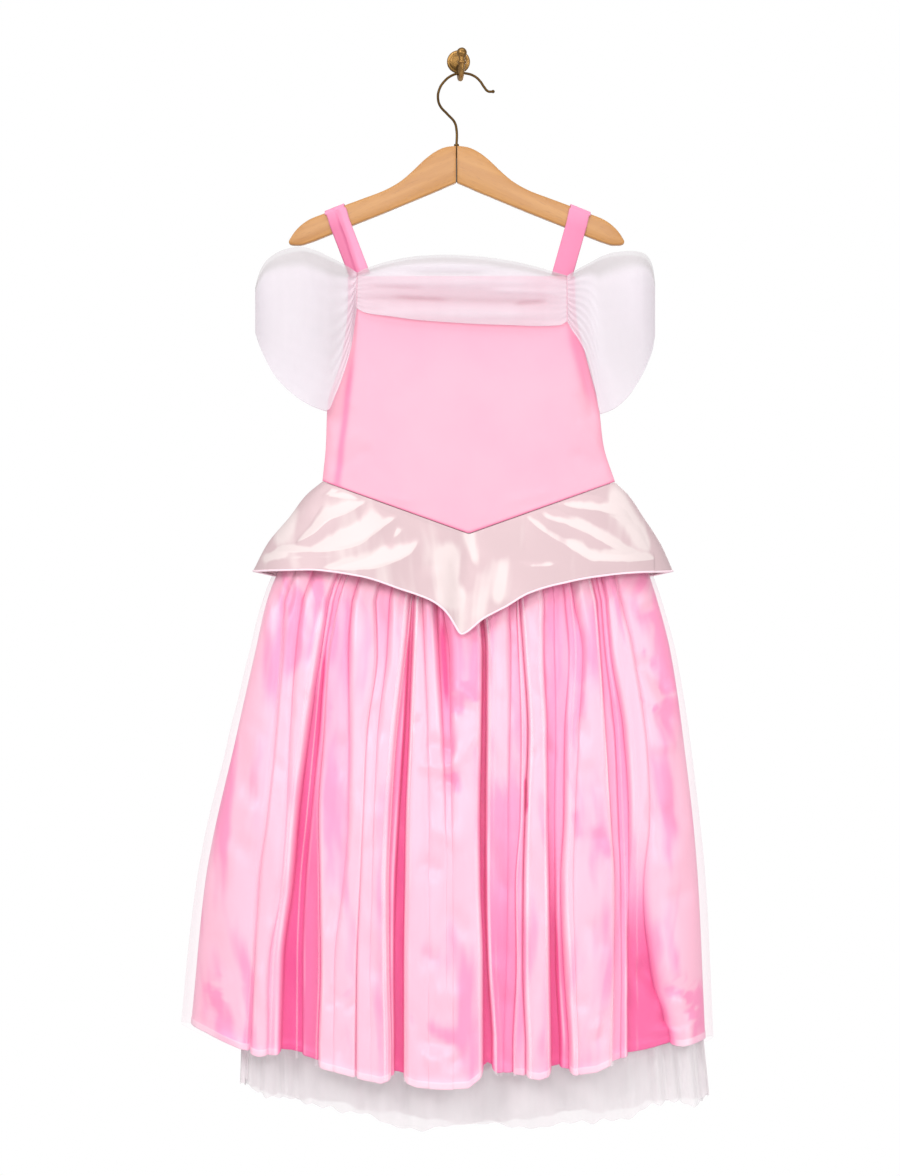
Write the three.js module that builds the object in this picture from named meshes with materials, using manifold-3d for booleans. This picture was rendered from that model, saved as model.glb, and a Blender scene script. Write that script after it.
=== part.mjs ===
// A child's princess costume dress on a wooden hanger, hung from a brass wall hook.
//
// Millimetres. +Z is up, +X is to the viewer's right, and the dress faces -Y.
// The origin is the centre of the wall plate's back, so the wall is the plane y = 0
// and everything lies in front of it, at y below 0.
//
// Each cloth panel is a wall of even thickness, made from a grid of points on its
// outer face. Rows run down the cloth and columns run round the body: along the
// front from left to right, and along the back from right to left, so that the
// outer face always lies on the same side of the grid.

import * as THREE from "three";
import { mergeVertices } from "three/addons/utils/BufferGeometryUtils.js";
import Module from "manifold-3d";

// Driving dimensions
const SEAM_GAP = 0.3; // clear space between two pieces that are sewn or set together
const SATIN = 1.2; // thickness of the skirt cloth
const VELOUR = 1.6; // thickness of the bodice cloth
const LAME = 1.4; // thickness of the peplum cloth
const TULLE = 1.0; // thickness of the net: band, sleeves, overskirt and petticoat
const RIBBON = 1.5; // thickness of the shoulder straps
const ROUNDNESS = 2.6; // how squarely a section of the dress turns at its sides

const WAIST = { left: -138, right: 158.5, seam: -22, front: -43, back: -6 }; // its outer face
const BODICE_TOP = -221;

const HANGER_X = -2;
const HANGER_Y = -17;
const HANGER_THICK = 12;
const WIRE_R = 1.3;
const PRONG_R = 3;

const PLATE_R = 11.8;
const PLATE_THICK = 2.8;

// Colours of the cloth, wood and brass
const COLOURS = {
  satin: [0xf7a8cf, 0.35, 0],
  overnet: [0xf9bcd9, 0.6, 0],
  velour: [0xfabfda, 0.8, 0],
  lame: [0xf0d9da, 0.3, 0.1],
  tulle: [0xf3eef3, 0.7, 0],
  ribbon: [0xf08fbe, 0.4, 0],
  wood: [0xe3a96b, 0.5, 0],
  brass: [0xb88a45, 0.3, 1],
};

// General helpers

function lerp(a, b, t) {
  return a + (b - a) * t;
}

function smooth(t) {
  const c = Math.min(1, Math.max(0, t));
  return c * c * (3 - 2 * c);
}

// Reads a table of named columns, straight between its rows, at a value of its key column.
function readTable(rows, key, at) {
  let i = 1;
  while (i < rows.length - 1 && rows[i][key] < at) i += 1;
  const [a, b] = [rows[i - 1], rows[i]];
  const t = Math.min(1, Math.max(0, (at - a[key]) / (b[key] - a[key])));
  return Object.fromEntries(Object.keys(a).map((k) => [k, lerp(a[k], b[k], t)]));
}

function evenSteps(from, to, count) {
  return Array.from({ length: count + 1 }, (_, i) => lerp(from, to, i / count));
}

// Places across a section are closer together at its rounded sides. A turn from -1 to 1 is
// such a place counted evenly round the section.
function turnToAcross(turn) {
  return Math.sin((turn * Math.PI) / 2);
}

function acrossToTurn(across) {
  return Math.asin(across) / (Math.PI / 2);
}

function evenTurns(count) {
  return evenSteps(-1, 1, count).map(turnToAcross);
}

function material(kind) {
  const [color, roughness, metalness] = COLOURS[kind];
  return new THREE.MeshStandardMaterial({ color, roughness, metalness });
}

function piece(name, kind, geometry) {
  const mesh = new THREE.Mesh(geometry, material(kind));
  mesh.name = name;
  return mesh;
}

// Cloth walls

// The outward direction of a grid at one point, from its neighbours down and across.
function gridNormal(grid, r, c) {
  const rows = grid.length - 1;
  const columns = grid[0].length - 1;
  const down = new THREE.Vector3().subVectors(
    grid[Math.min(r + 1, rows)][c],
    grid[Math.max(r - 1, 0)][c],
  );
  const across = new THREE.Vector3().subVectors(
    grid[r][Math.min(c + 1, columns)],
    grid[r][Math.max(c - 1, 0)],
  );
  return down.cross(across).normalize();
}

// A closed wall: the grid is its outer face, and its inner face is the same grid moved in by
// its thickness. The top and bottom edges stay level, and keep() holds a point to its own
// side of a seam.
function clothWall(grid, thickness, keep = (p) => p) {
  const rows = grid.length - 1;
  const columns = grid[0].length - 1;
  const inner = grid.map((row, r) =>
    row.map((p, c) => {
      const inwards = gridNormal(grid, r, c).multiplyScalar(-thickness);
      if (r === 0 || r === rows) inwards.z = 0;
      return keep(p.clone().add(inwards), r);
    }),
  );
  const outer = grid.map((row, r) => row.map((p) => keep(p.clone(), r)));
  const points = [...outer.flat(), ...inner.flat()];
  const width = columns + 1;
  const outerAt = (r, c) => r * width + c;
  const innerAt = (r, c) => points.length / 2 + outerAt(r, c);
  const faces = [];
  const quad = (a, b, c, d) => faces.push(a, b, c, a, c, d);
  for (let r = 0; r < rows; r += 1) {
    for (let c = 0; c < columns; c += 1) {
      quad(outerAt(r, c), outerAt(r + 1, c), outerAt(r + 1, c + 1), outerAt(r, c + 1));
      quad(innerAt(r, c), innerAt(r, c + 1), innerAt(r + 1, c + 1), innerAt(r + 1, c));
    }
    quad(innerAt(r, 0), innerAt(r + 1, 0), outerAt(r + 1, 0), outerAt(r, 0));
    quad(outerAt(r, columns), outerAt(r + 1, columns), innerAt(r + 1, columns), innerAt(r, columns));
  }
  for (let c = 0; c < columns; c += 1) {
    quad(innerAt(0, c + 1), innerAt(0, c), outerAt(0, c), outerAt(0, c + 1));
    quad(outerAt(rows, c + 1), outerAt(rows, c), innerAt(rows, c), innerAt(rows, c + 1));
  }
  const geometry = new THREE.BufferGeometry();
  geometry.setFromPoints(points);
  geometry.setIndex(faces);
  return geometry;
}

// Sections of the dress

// A point on a level section. across runs from -1 at the left seam to 1 at the right seam,
// crown is how far forward or back the middle lies, and offset moves the point outwards.
function sectionPoint(row, across, crown, offset) {
  const middle = (row.left + row.right) / 2;
  const half = (row.right - row.left) / 2;
  const edge = crown < row.seam ? row.frontEdge ?? row.seam : row.backEdge ?? row.seam;
  const at = (a) => {
    const rise = Math.sqrt(Math.max(0, 1 - Math.abs(a) ** ROUNDNESS));
    return new THREE.Vector2(middle + half * a, lerp(edge, crown, rise));
  };
  const here = at(across);
  const step = 0.01;
  const along = at(Math.min(1, across + step)).sub(at(Math.max(-1, across - step)));
  const side = crown < row.seam ? 1 : -1;
  const outwards = new THREE.Vector2(along.y, -along.x).multiplyScalar(side).normalize();
  if (Math.abs(across) === 1) outwards.set(Math.sign(across), 0);
  return here.addScaledVector(outwards, offset);
}

// The height of a row at a place across it: leftZ and rightZ at the seams, centreZ between them,
// with vee 1 for a straight-sided V and more for a rounder dip.
function rowHeight(row, across) {
  const sideZ = across < 0 ? row.leftZ : row.rightZ;
  return lerp(row.centreZ, sideZ, Math.abs(across) ** row.vee);
}

// Holds a front or back panel to its own side of the side seams.
function seamKeeper(rows, isFront) {
  return (p, r) => {
    const { seam } = rows[r];
    if (isFront) p.y = Math.min(p.y, seam - SEAM_GAP / 2);
    else p.y = Math.max(p.y, seam + SEAM_GAP / 2);
    return p;
  };
}

// A front or back panel. columns is a list of places across each row, and offsetOf gives how far
// the cloth stands out from the plain section there.
function bodyPanel(rows, isFront, columnsOf, offsetOf, thickness, heightOf = rowHeight) {
  const grid = rows.map((row, r) => {
    const stations = columnsOf(r).map((column, index) => {
      const offset = offsetOf(r, column.across, column, index);
      const crown = isFront ? row.front : row.back;
      const p = sectionPoint(row, column.across, crown, offset);
      return new THREE.Vector3(p.x, p.y, heightOf(row, column.across, column));
    });
    return isFront ? stations : stations.reverse();
  });
  return clothWall(grid, thickness, seamKeeper(rows, isFront));
}

// Skirt

// How far inside the waist's outer face each layer is sewn in, under the peplum.
const LAYER_GAP = SEAM_GAP + 0.1;
const OVERSKIRT_TUCK = LAME + LAYER_GAP;
const SATIN_TUCK = OVERSKIRT_TUCK + TULLE + LAYER_GAP;
const PETTICOAT_TUCK = SATIN_TUCK + SATIN + 2.5 * LAYER_GAP;

// Rows of the satin skirt, from the waist seam to the hem: the side outlines, the height at the
// middle, how pointed the row is, and how far forward and back the tops of the folds stand. net
// is how far the overskirt stands off the satin.
const SKIRT_ROWS = [
  { ...WAIST, leftZ: -429, rightZ: -429.5, centreZ: -482.4, vee: 1, net: SATIN_TUCK - OVERSKIRT_TUCK },
  { left: -163, leftZ: -478, right: 177, rightZ: -478, centreZ: -520, vee: 1.2, seam: -27, front: -54, back: -9.5, net: 2.4 },
  { left: -193, leftZ: -545, right: 200, rightZ: -545, centreZ: -578, vee: 1.4, seam: -33, front: -72, back: -9.5, net: 2.6 },
  { left: -226, leftZ: -680, right: 228, rightZ: -680, centreZ: -712, vee: 1.6, seam: -40, front: -90, back: -9.5, net: 3 },
  { left: -259, leftZ: -830, right: 244, rightZ: -833, centreZ: -868, vee: 1.7, seam: -47, front: -105, back: -9.5, net: 3.2 },
  { left: -274, leftZ: -972, right: 251, rightZ: -986, centreZ: -1026, vee: 1.8, seam: -53, front: -116, back: -9.5, net: 3.5 },
];

// The valleys between the front folds: their places across the row under the peplum and at the
// hem, how deep they are at each, and how much of the full height the fold to their right has.
const FRONT_VALLEYS = [
  { top: -1, hem: -1, topCut: 0, hemCut: 0, crest: 1 },
  { top: -0.9, hem: -0.764, topCut: 5, hemCut: 15, crest: 1 },
  { top: -0.83, hem: -0.7, topCut: 4, hemCut: 6, crest: 1 },
  { top: -0.69, hem: -0.635, topCut: 5, hemCut: 22, crest: 0.15 },
  { top: -0.62, hem: -0.52, topCut: 7, hemCut: 24, crest: 1 },
  { top: -0.545, hem: -0.437, topCut: 4, hemCut: 5, crest: 1 },
  { top: -0.457, hem: -0.35, topCut: 4, hemCut: 13, crest: 1 },
  { top: -0.394, hem: -0.29, topCut: 4, hemCut: 5, crest: 1 },
  { top: -0.322, hem: -0.218, topCut: 5, hemCut: 12, crest: 0.7 },
  { top: -0.254, hem: -0.176, topCut: 7, hemCut: 24, crest: 1 },
  { top: -0.186, hem: -0.09, topCut: 4, hemCut: 3, crest: 1 },
  { top: -0.098, hem: 0.0, topCut: 7, hemCut: 4, crest: 1 },
  { top: 0.001, hem: 0.08, topCut: 4, hemCut: 5, crest: 1 },
  { top: 0.1, hem: 0.152, topCut: 8, hemCut: 27, crest: 0.9 },
  { top: 0.2, hem: 0.22, topCut: 4, hemCut: 8, crest: 1 },
  { top: 0.292, hem: 0.298, topCut: 6, hemCut: 15, crest: 1 },
  { top: 0.38, hem: 0.385, topCut: 4, hemCut: 14, crest: 0.4 },
  { top: 0.45, hem: 0.46, topCut: 6, hemCut: 22, crest: 1 },
  { top: 0.553, hem: 0.56, topCut: 6, hemCut: 4, crest: 1 },
  { top: 0.709, hem: 0.64, topCut: 6, hemCut: 16, crest: 0.8 },
  { top: 0.771, hem: 0.705, topCut: 5, hemCut: 18, crest: 1 },
  { top: 0.85, hem: 0.8, topCut: 6, hemCut: 7, crest: 1 },
  { top: 0.93, hem: 0.89, topCut: 4, hemCut: 5, crest: 1 },
  { top: 1, hem: 1, topCut: 0, hemCut: 0, crest: 1 },
];

// The back is plain gathers of uneven width and depth.
const BACK_FOLDS = 16;
const BACK_VALLEYS = evenSteps(-1, 1, BACK_FOLDS).map((place, i) => {
  const atSeam = i === 0 || i === BACK_FOLDS;
  return {
    top: atSeam ? place : place + 0.02 * Math.sin(2.4 * i),
    hem: atSeam ? place : place + 0.03 * Math.sin(1.7 * i + 1),
    topCut: atSeam ? 0 : 4.5 + Math.sin(1.3 * i),
    hemCut: atSeam ? 0 : 10 + 5 * Math.sin(2.1 * i),
    crest: 1,
  };
});

const SHOULDERS = [0.28, 0.72]; // where a fold is sampled between two valleys
const FOLD_FULLNESS = 0.45; // below 1, a fold is broad and its valleys are narrow
const HEM_LIFT = 0.35; // how much higher the hem lies in a valley, for each mm of its depth

// How far down the skirt's folds a row is: 0 under the peplum and 1 at the hem.
function foldAge(r) {
  return Math.max(0, (r - 1) / (SKIRT_ROWS.length - 2));
}

// The columns of one skirt row: every valley, and two places on the fold to its right. cut is
// how far the cloth there lies behind the tops of the folds.
function foldColumns(valleys, r) {
  const age = foldAge(r);
  const place = (v) => acrossToTurn(lerp(v.top, v.hem, age));
  const cut = (v) => (r === 0 ? SATIN_TUCK : lerp(v.topCut, v.hemCut, age));
  const columns = [];
  valleys.slice(0, -1).forEach((valley, i) => {
    const next = valleys[i + 1];
    columns.push({ across: turnToAcross(place(valley)), cut: cut(valley) });
    SHOULDERS.forEach((q) => {
      const swell = r === 0 ? 0 : valley.crest * (4 * q * (1 - q)) ** FOLD_FULLNESS;
      columns.push({
        across: turnToAcross(lerp(place(valley), place(next), q)),
        cut: lerp(cut(valley), cut(next), q) * (1 - swell),
      });
    });
  });
  columns.push({ across: 1, cut: cut(valleys.at(-1)) });
  return columns;
}

function skirtHeight(row, across, column) {
  const isHem = row === SKIRT_ROWS.at(-1);
  return rowHeight(row, across) + (isHem ? HEM_LIFT * column.cut : 0);
}

function skirtPanel(name, isFront) {
  const valleys = isFront ? FRONT_VALLEYS : BACK_VALLEYS;
  const geometry = bodyPanel(
    SKIRT_ROWS,
    isFront,
    (r) => foldColumns(valleys, r),
    (r, across, column) => -column.cut,
    SATIN,
    skirtHeight,
  );
  return piece(name, "satin", geometry);
}

// The overskirt of pink net lies over the satin and sinks less far into its valleys.
const NET_SINK = 0.6;

function overskirtPanel(name, isFront) {
  const valleys = isFront ? FRONT_VALLEYS : BACK_VALLEYS;
  const geometry = bodyPanel(
    SKIRT_ROWS,
    isFront,
    (r) => foldColumns(valleys, r),
    (r, across, column) => SKIRT_ROWS[r].net - (r === 0 ? 1 : NET_SINK) * column.cut,
    TULLE,
    skirtHeight,
  );
  return piece(name, "overnet", geometry);
}

// Petticoat

// The white petticoat hangs inside the satin and shows below its hem. Its rows lie at the same
// heights as the satin's, but for the last one. wave is how deep its gathers are.
const PETTICOAT_ROWS = [
  { ...WAIST, leftZ: -429, rightZ: -429.5, centreZ: -482.4, vee: 1, tuck: PETTICOAT_TUCK, wave: 0 },
  { left: -150, leftZ: -478, right: 164, rightZ: -478, centreZ: -520, vee: 1.2, seam: -27, front: -41, back: -22, tuck: 0, wave: 0.5 },
  { left: -176, leftZ: -545, right: 183, rightZ: -545, centreZ: -578, vee: 1.4, seam: -33, front: -54, back: -25, tuck: 0, wave: 1 },
  { left: -203, leftZ: -680, right: 213, rightZ: -680, centreZ: -712, vee: 1.6, seam: -40, front: -68, back: -26, tuck: 0, wave: 3 },
  { left: -212, leftZ: -830, right: 230, rightZ: -833, centreZ: -868, vee: 1.7, seam: -47, front: -76, back: -29, tuck: 0, wave: 5 },
  { left: -214, leftZ: -1034, right: 245, rightZ: -1044, centreZ: -1073, vee: 1.8, seam: -55, front: -84, back: -31, tuck: 0, wave: 9 },
];
const PETTICOAT_WAVES = 12;
const HEM_WAVER = 4;

function petticoatPanel(name, isFront) {
  const places = evenTurns(PETTICOAT_WAVES * 2);
  const geometry = bodyPanel(
    PETTICOAT_ROWS,
    isFront,
    () => places.map((across, i) => ({ across, sunk: i % 2 })),
    (r, across, column) => -PETTICOAT_ROWS[r].tuck - PETTICOAT_ROWS[r].wave * column.sunk,
    TULLE,
    (row, across) => {
      const isHem = row === PETTICOAT_ROWS.at(-1);
      return rowHeight(row, across) + (isHem ? HEM_WAVER * Math.sin(9 * across + 1) : 0);
    },
  );
  return piece(name, "tulle", geometry);
}

// Peplum

// fall is the share of the peplum's length from the waist seam to its edge.
const PEPLUM_ROWS = [
  { fall: 0, ...WAIST },
  { fall: 0.15, left: -154, right: 172, seam: -23, front: -51.5, back: -4.8 },
  { fall: 0.4, left: -171, right: 187, seam: -25, front: -61, back: -3.8 },
  { fall: 0.7, left: -193, right: 204, seam: -28, front: -71, back: -3.2 },
  { fall: 1, left: -207, right: 216, seam: -31, front: -80, back: -3.2 },
];
const PEPLUM_TOP = { leftZ: -428.4, rightZ: -428.9, centreZ: -481.8, vee: 1 };

// The lower edge at the front, which comes to a point at the middle.
const PEPLUM_EDGE = [
  { across: -1, z: -518 },
  { across: -0.75, z: -517 },
  { across: -0.5, z: -523.5 },
  { across: -0.3, z: -536 },
  { across: -0.17, z: -546 },
  { across: -0.1, z: -558 },
  { across: -0.01, z: -582.6 },
  { across: 0.11, z: -566 },
  { across: 0.2, z: -553.5 },
  { across: 0.3, z: -541 },
  { across: 0.45, z: -531 },
  { across: 0.75, z: -521 },
  { across: 1, z: -518 },
];
const PEPLUM_BACK_DIP = 24; // how much longer the plain back edge is at its middle

// Broad soft creases that run from the waist towards the side edges.
const PEPLUM_CREASES = [
  { top: -0.86, edge: -0.72, depth: 3.5, width: 0.1 },
  { top: -0.6, edge: -0.4, depth: 2.5, width: 0.1 },
  { top: 0.58, edge: 0.42, depth: 2.5, width: 0.1 },
  { top: 0.84, edge: 0.7, depth: 3.5, width: 0.1 },
];
const PEPLUM_COLUMNS = 28;

function peplumCrease(fall, across) {
  return PEPLUM_CREASES.reduce((sum, crease) => {
    const distance = (across - lerp(crease.top, crease.edge, fall)) / crease.width;
    return sum - crease.depth * Math.exp(-distance * distance) * smooth(4 * fall * (1 - fall));
  }, 0);
}

function peplumPanel(name, isFront) {
  const places = evenTurns(PEPLUM_COLUMNS).map((across) => ({ across }));
  const edgeHeight = (across) =>
    isFront
      ? readTable(PEPLUM_EDGE, "across", across).z
      : lerp(PEPLUM_EDGE[0].z - PEPLUM_BACK_DIP, PEPLUM_EDGE[0].z, across * across);
  const geometry = bodyPanel(
    PEPLUM_ROWS,
    isFront,
    () => places,
    (r, across) => (isFront ? peplumCrease(PEPLUM_ROWS[r].fall, across) : 0),
    LAME,
    (row, across) => lerp(rowHeight(PEPLUM_TOP, across), edgeHeight(across), row.fall),
  );
  return piece(name, "lame", geometry);
}

// Bodice

// The side edges are the armholes down to the fourth row, and the side seams below it.
const BODICE_ROWS = [
  { left: -112, leftZ: BODICE_TOP, right: 118, rightZ: BODICE_TOP, centreZ: BODICE_TOP, seam: -17, front: -29, back: -8, frontEdge: -25, backEdge: -11 },
  { left: -112.5, leftZ: -256, right: 119, rightZ: -256, centreZ: -260, seam: -17, front: -31, back: -8, frontEdge: -25.5, backEdge: -11 },
  { left: -119, leftZ: -305, right: 130, rightZ: -305, centreZ: -315, seam: -19, front: -34, back: -7.5, frontEdge: -24, backEdge: -14 },
  { left: -133, leftZ: -352, right: 142, rightZ: -352, centreZ: -370, seam: WAIST.seam, front: -37, back: -7, frontEdge: WAIST.seam, backEdge: WAIST.seam },
  { left: -134.5, leftZ: -392, right: 147, rightZ: -392, centreZ: -425, seam: WAIST.seam, front: -40, back: -6.5, frontEdge: WAIST.seam, backEdge: WAIST.seam },
  { ...WAIST, leftZ: -427.9, rightZ: -428.4, centreZ: -481.2, frontEdge: WAIST.seam, backEdge: WAIST.seam },
].map((row, i) => ({ ...row, vee: i < 4 ? 2 : 1 }));
const BODICE_COLUMNS = 16;

function bodicePanel(name, isFront) {
  const places = evenTurns(BODICE_COLUMNS).map((across) => ({ across }));
  const geometry = bodyPanel(BODICE_ROWS, isFront, () => places, () => 0, VELOUR);
  return piece(name, "velour", geometry);
}

// Neck band

// Left and right ends are gathered into short upright seams, and the net swells between them.
const BAND_SHAPE = [
  { x: -102.4, top: -217.5, bottom: -254, swell: 0 },
  { x: -95, top: -214, bottom: -258, swell: 0.5 },
  { x: -70, top: -206, bottom: -262, swell: 0.9 },
  { x: -40, top: -201, bottom: -266, swell: 1 },
  { x: -13.7, top: -199.8, bottom: -268, swell: 1 },
  { x: 20, top: -201.5, bottom: -270, swell: 1 },
  { x: 50, top: -205.5, bottom: -271, swell: 1 },
  { x: 80, top: -212, bottom: -272, swell: 0.9 },
  { x: 102, top: -218.5, bottom: -271, swell: 0.5 },
  { x: 109.3, top: -220.5, bottom: -267, swell: 0 },
];
const BAND_COLUMNS = 16;
const BAND_ROWS = 8; // the rows lie high and low in turn, so this makes four soft folds
const BAND_CLEAR = 1.6; // from the bodice to the band's outer face, at least
const BAND_FOLD = { front: 2.4, back: 1.2 }; // how far a fold stands out at the middle

// Where the bodice's outer face lies behind a point of the band.
function bodiceFace(x, z, isFront) {
  const row = readTable(
    BODICE_ROWS.map((r) => ({ ...r, down: -r.leftZ })),
    "down",
    Math.max(-z, -BODICE_TOP),
  );
  const across = (2 * x - row.left - row.right) / (row.right - row.left);
  return sectionPoint(row, across, isFront ? row.front : row.back, 0).y;
}

function bandPanel(name, isFront) {
  const side = isFront ? -1 : 1;
  const fold = isFront ? BAND_FOLD.front : BAND_FOLD.back;
  const xs = evenSteps(BAND_SHAPE[0].x, BAND_SHAPE.at(-1).x, BAND_COLUMNS);
  const grid = evenSteps(0, 1, BAND_ROWS).map((fall, r) => {
    const stations = xs.map((x) => {
      const shape = readTable(BAND_SHAPE, "x", x);
      const z = lerp(shape.top, shape.bottom, fall);
      const lift = BAND_CLEAR + fold * shape.swell * (r % 2 ? 1 : 0.2);
      return new THREE.Vector3(x, bodiceFace(x, z, isFront) + side * lift, z);
    });
    return isFront ? stations : stations.reverse();
  });
  return piece(name, "tulle", clothWall(grid, TULLE));
}

// Sleeves

// Each sleeve is a puffed loop of net that the arm goes through. It starts at the front end of
// the neck band, runs out round the arm and comes back to the back end of the band. A row is a
// place outwards: its height at the upper and lower edges, and where the front and back lie.
const SLEEVE_LEFT = [
  { x: -102.8, top: -217.5, bottom: -254, front: -30, back: -5.6 },
  { x: -108, top: -214, bottom: -292, front: -32, back: -5 },
  { x: -115, top: -210, bottom: -318, front: -37, back: -4.2 },
  { x: -124, top: -205.5, bottom: -342, front: -41, back: -3.8 },
  { x: -132, top: -202, bottom: -357, front: -44, back: -3.5 },
  { x: -146, top: -196, bottom: -353, front: -47, back: -3.5 },
  { x: -162, top: -192, bottom: -345.5, front: -48, back: -3.5 },
  { x: -178, top: -192.5, bottom: -334, front: -46, back: -4 },
  { x: -191, top: -195.5, bottom: -321, front: -42, back: -6 },
  { x: -203, top: -203, bottom: -302, front: -36, back: -10 },
  { x: -210, top: -216, bottom: -287, front: -29, back: -16 },
  { x: -213.6, top: -228, bottom: -277, front: -22.5, back: -22.5 },
];
const SLEEVE_RIGHT = [
  { x: 109.7, top: -220.5, bottom: -267, front: -30, back: -5.6 },
  { x: 114, top: -218, bottom: -275, front: -32, back: -5 },
  { x: 121, top: -214, bottom: -285, front: -36, back: -4.2 },
  { x: 130, top: -209.5, bottom: -304, front: -40, back: -3.8 },
  { x: 137, top: -206, bottom: -333, front: -43, back: -3.5 },
  { x: 143, top: -203, bottom: -360, front: -45, back: -3.5 },
  { x: 156, top: -199, bottom: -355, front: -47, back: -3.5 },
  { x: 173, top: -197.5, bottom: -341, front: -46, back: -4 },
  { x: 186, top: -198.5, bottom: -323, front: -42, back: -6 },
  { x: 194, top: -204, bottom: -308, front: -36, back: -10 },
  { x: 199, top: -216, bottom: -294, front: -29, back: -16 },
  { x: 201.6, top: -230, bottom: -280, front: -22.5, back: -22.5 },
];
const SLEEVE_ROWS = 8; // high and low in turn: four folds fan out from the gathered end
const SLEEVE_FOLD = { front: 2.2, back: 1 };
const SLEEVE_HEM_RUFFLE = 3;

function sleeve(name, table) {
  const last = table.length - 1;
  const isLeft = table[0].x < 0;
  const station = (fall, r, i, isFront) => {
    const row = table[i];
    const spread = Math.sin((Math.PI * i) / last);
    const fold = isFront ? SLEEVE_FOLD.front : SLEEVE_FOLD.back;
    const inwards = (r % 2) * fold * spread * (isFront ? 1 : -1);
    const ruffle = fall === 1 ? SLEEVE_HEM_RUFFLE * spread * Math.sin(2.2 * i) : 0;
    const z = lerp(row.top, row.bottom, fall) + ruffle;
    return new THREE.Vector3(row.x, (isFront ? row.front : row.back) + inwards, z);
  };
  const grid = evenSteps(0, 1, SLEEVE_ROWS).map((fall, r) => {
    const front = table.map((_, i) => station(fall, r, i, true));
    const back = table.slice(0, -1).map((_, i) => station(fall, r, i, false));
    const fromFrontToBack = [...front, ...back.reverse()];
    return isLeft ? fromFrontToBack.reverse() : fromFrontToBack;
  });
  return piece(name, "tulle", clothWall(grid, TULLE));
}

// The upper and lower edges of one arm, measured out from the middle joint.
const ARM_TOP = [[0, -88.4], [10, -89.4], [20, -93.4], [32, -102], [44, -113.5], [57, -124.5], [73, -133.5], [112, -148.2], [135, -157.3], [149, -163], [160, -171.5], [168, -187]];
const ARM_BOTTOM = [[163, -190], [150, -186.5], [128, -178.3], [105, -168.6], [50, -146.5], [0, -125.5]];

function woodTop(x) {
  const rows = ARM_TOP.map(([out, z]) => ({ out, z }));
  return readTable(rows, "out", Math.abs(x - HANGER_X)).z;
}

// Shoulder straps

const STRAP_WIDTH = 21;
const STRAP_CREASE = 0.8; // how far the middle of the ribbon sinks in front
const STRAPS = {
  strap_left: { top: -125.6, foot: -101.5 },
  strap_right: { top: 123.5, foot: 104.5 },
};

// The strap's path seen from the side, from the front neck edge over the hanger to the back:
// fall is the share of the way down to the bodice, and lift is the height over the hanger.
const WOOD_FACE = HANGER_THICK / 2 + SEAM_GAP + RIBBON;
const STRAP_PATH = [
  { fall: 1, lift: 0, y: -27 },
  { fall: 0.75, lift: 0, y: -26.5 },
  { fall: 0.5, lift: 0, y: -25.8 },
  { fall: 0.25, lift: 0, y: HANGER_Y - WOOD_FACE },
  { fall: 0, lift: -1.8, y: HANGER_Y - WOOD_FACE },
  { fall: 0, lift: 1.2, y: HANGER_Y - WOOD_FACE * 0.88 },
  { fall: 0, lift: 2.4, y: HANGER_Y - WOOD_FACE * 0.5 },
  { fall: 0, lift: 2.6, y: HANGER_Y },
  { fall: 0, lift: 2.4, y: HANGER_Y + WOOD_FACE * 0.5 },
  { fall: 0, lift: 1.2, y: HANGER_Y + WOOD_FACE * 0.88 },
  { fall: 0, lift: -1.8, y: HANGER_Y + WOOD_FACE },
  { fall: 0.35, lift: 0, y: HANGER_Y + WOOD_FACE },
  { fall: 0.7, lift: 0, y: -9.5 },
  { fall: 1, lift: 0, y: -9.8 },
];

function strap(name) {
  const { top, foot } = STRAPS[name];
  const run = new THREE.Vector2(foot - top, BODICE_TOP + SEAM_GAP - woodTop(top));
  const across = new THREE.Vector2(-run.y, run.x).normalize();
  const grid = STRAP_PATH.map(({ fall, lift, y }) =>
    [-0.5, 0, 0.5].map((place) => {
      const isFoot = fall === 1;
      const spread = place * STRAP_WIDTH;
      const crease = place === 0 && y < HANGER_Y && fall >= 0.5 && !isFoot ? STRAP_CREASE : 0;
      const x = top + run.x * fall + (isFoot ? spread / across.x : spread * across.x);
      const slantedZ = woodTop(top) + run.y * fall + (isFoot ? 0 : spread * across.y);
      return new THREE.Vector3(x, y + crease, fall === 0 ? woodTop(x) + lift : slantedZ);
    }),
  );
  return piece(name, "ribbon", clothWall(grid.reverse(), RIBBON));
}

// Hanger and wall hook

const wasm = await Module();
wasm.setup();

// A closed geometry as a solid that can be joined and cut, and back again.
function toSolid(geometry) {
  const plain = geometry.index ? geometry.toNonIndexed() : geometry.clone();
  plain.deleteAttribute("normal");
  plain.deleteAttribute("uv");
  const merged = mergeVertices(plain, 1e-3);
  return new wasm.Manifold(
    new wasm.Mesh({
      numProp: 3,
      vertProperties: merged.attributes.position.array,
      triVerts: new Uint32Array(merged.index.array),
    }),
  );
}

function toGeometry(solid) {
  const mesh = solid.getMesh();
  const geometry = new THREE.BufferGeometry();
  geometry.setAttribute("position", new THREE.BufferAttribute(mesh.vertProperties, 3));
  geometry.setIndex(new THREE.BufferAttribute(mesh.triVerts, 1));
  return geometry;
}

const WOOD_BEVEL = 1.8;
const WIRE_SOCKET_END = -112;
const ARM_STEPS = 2;

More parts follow.
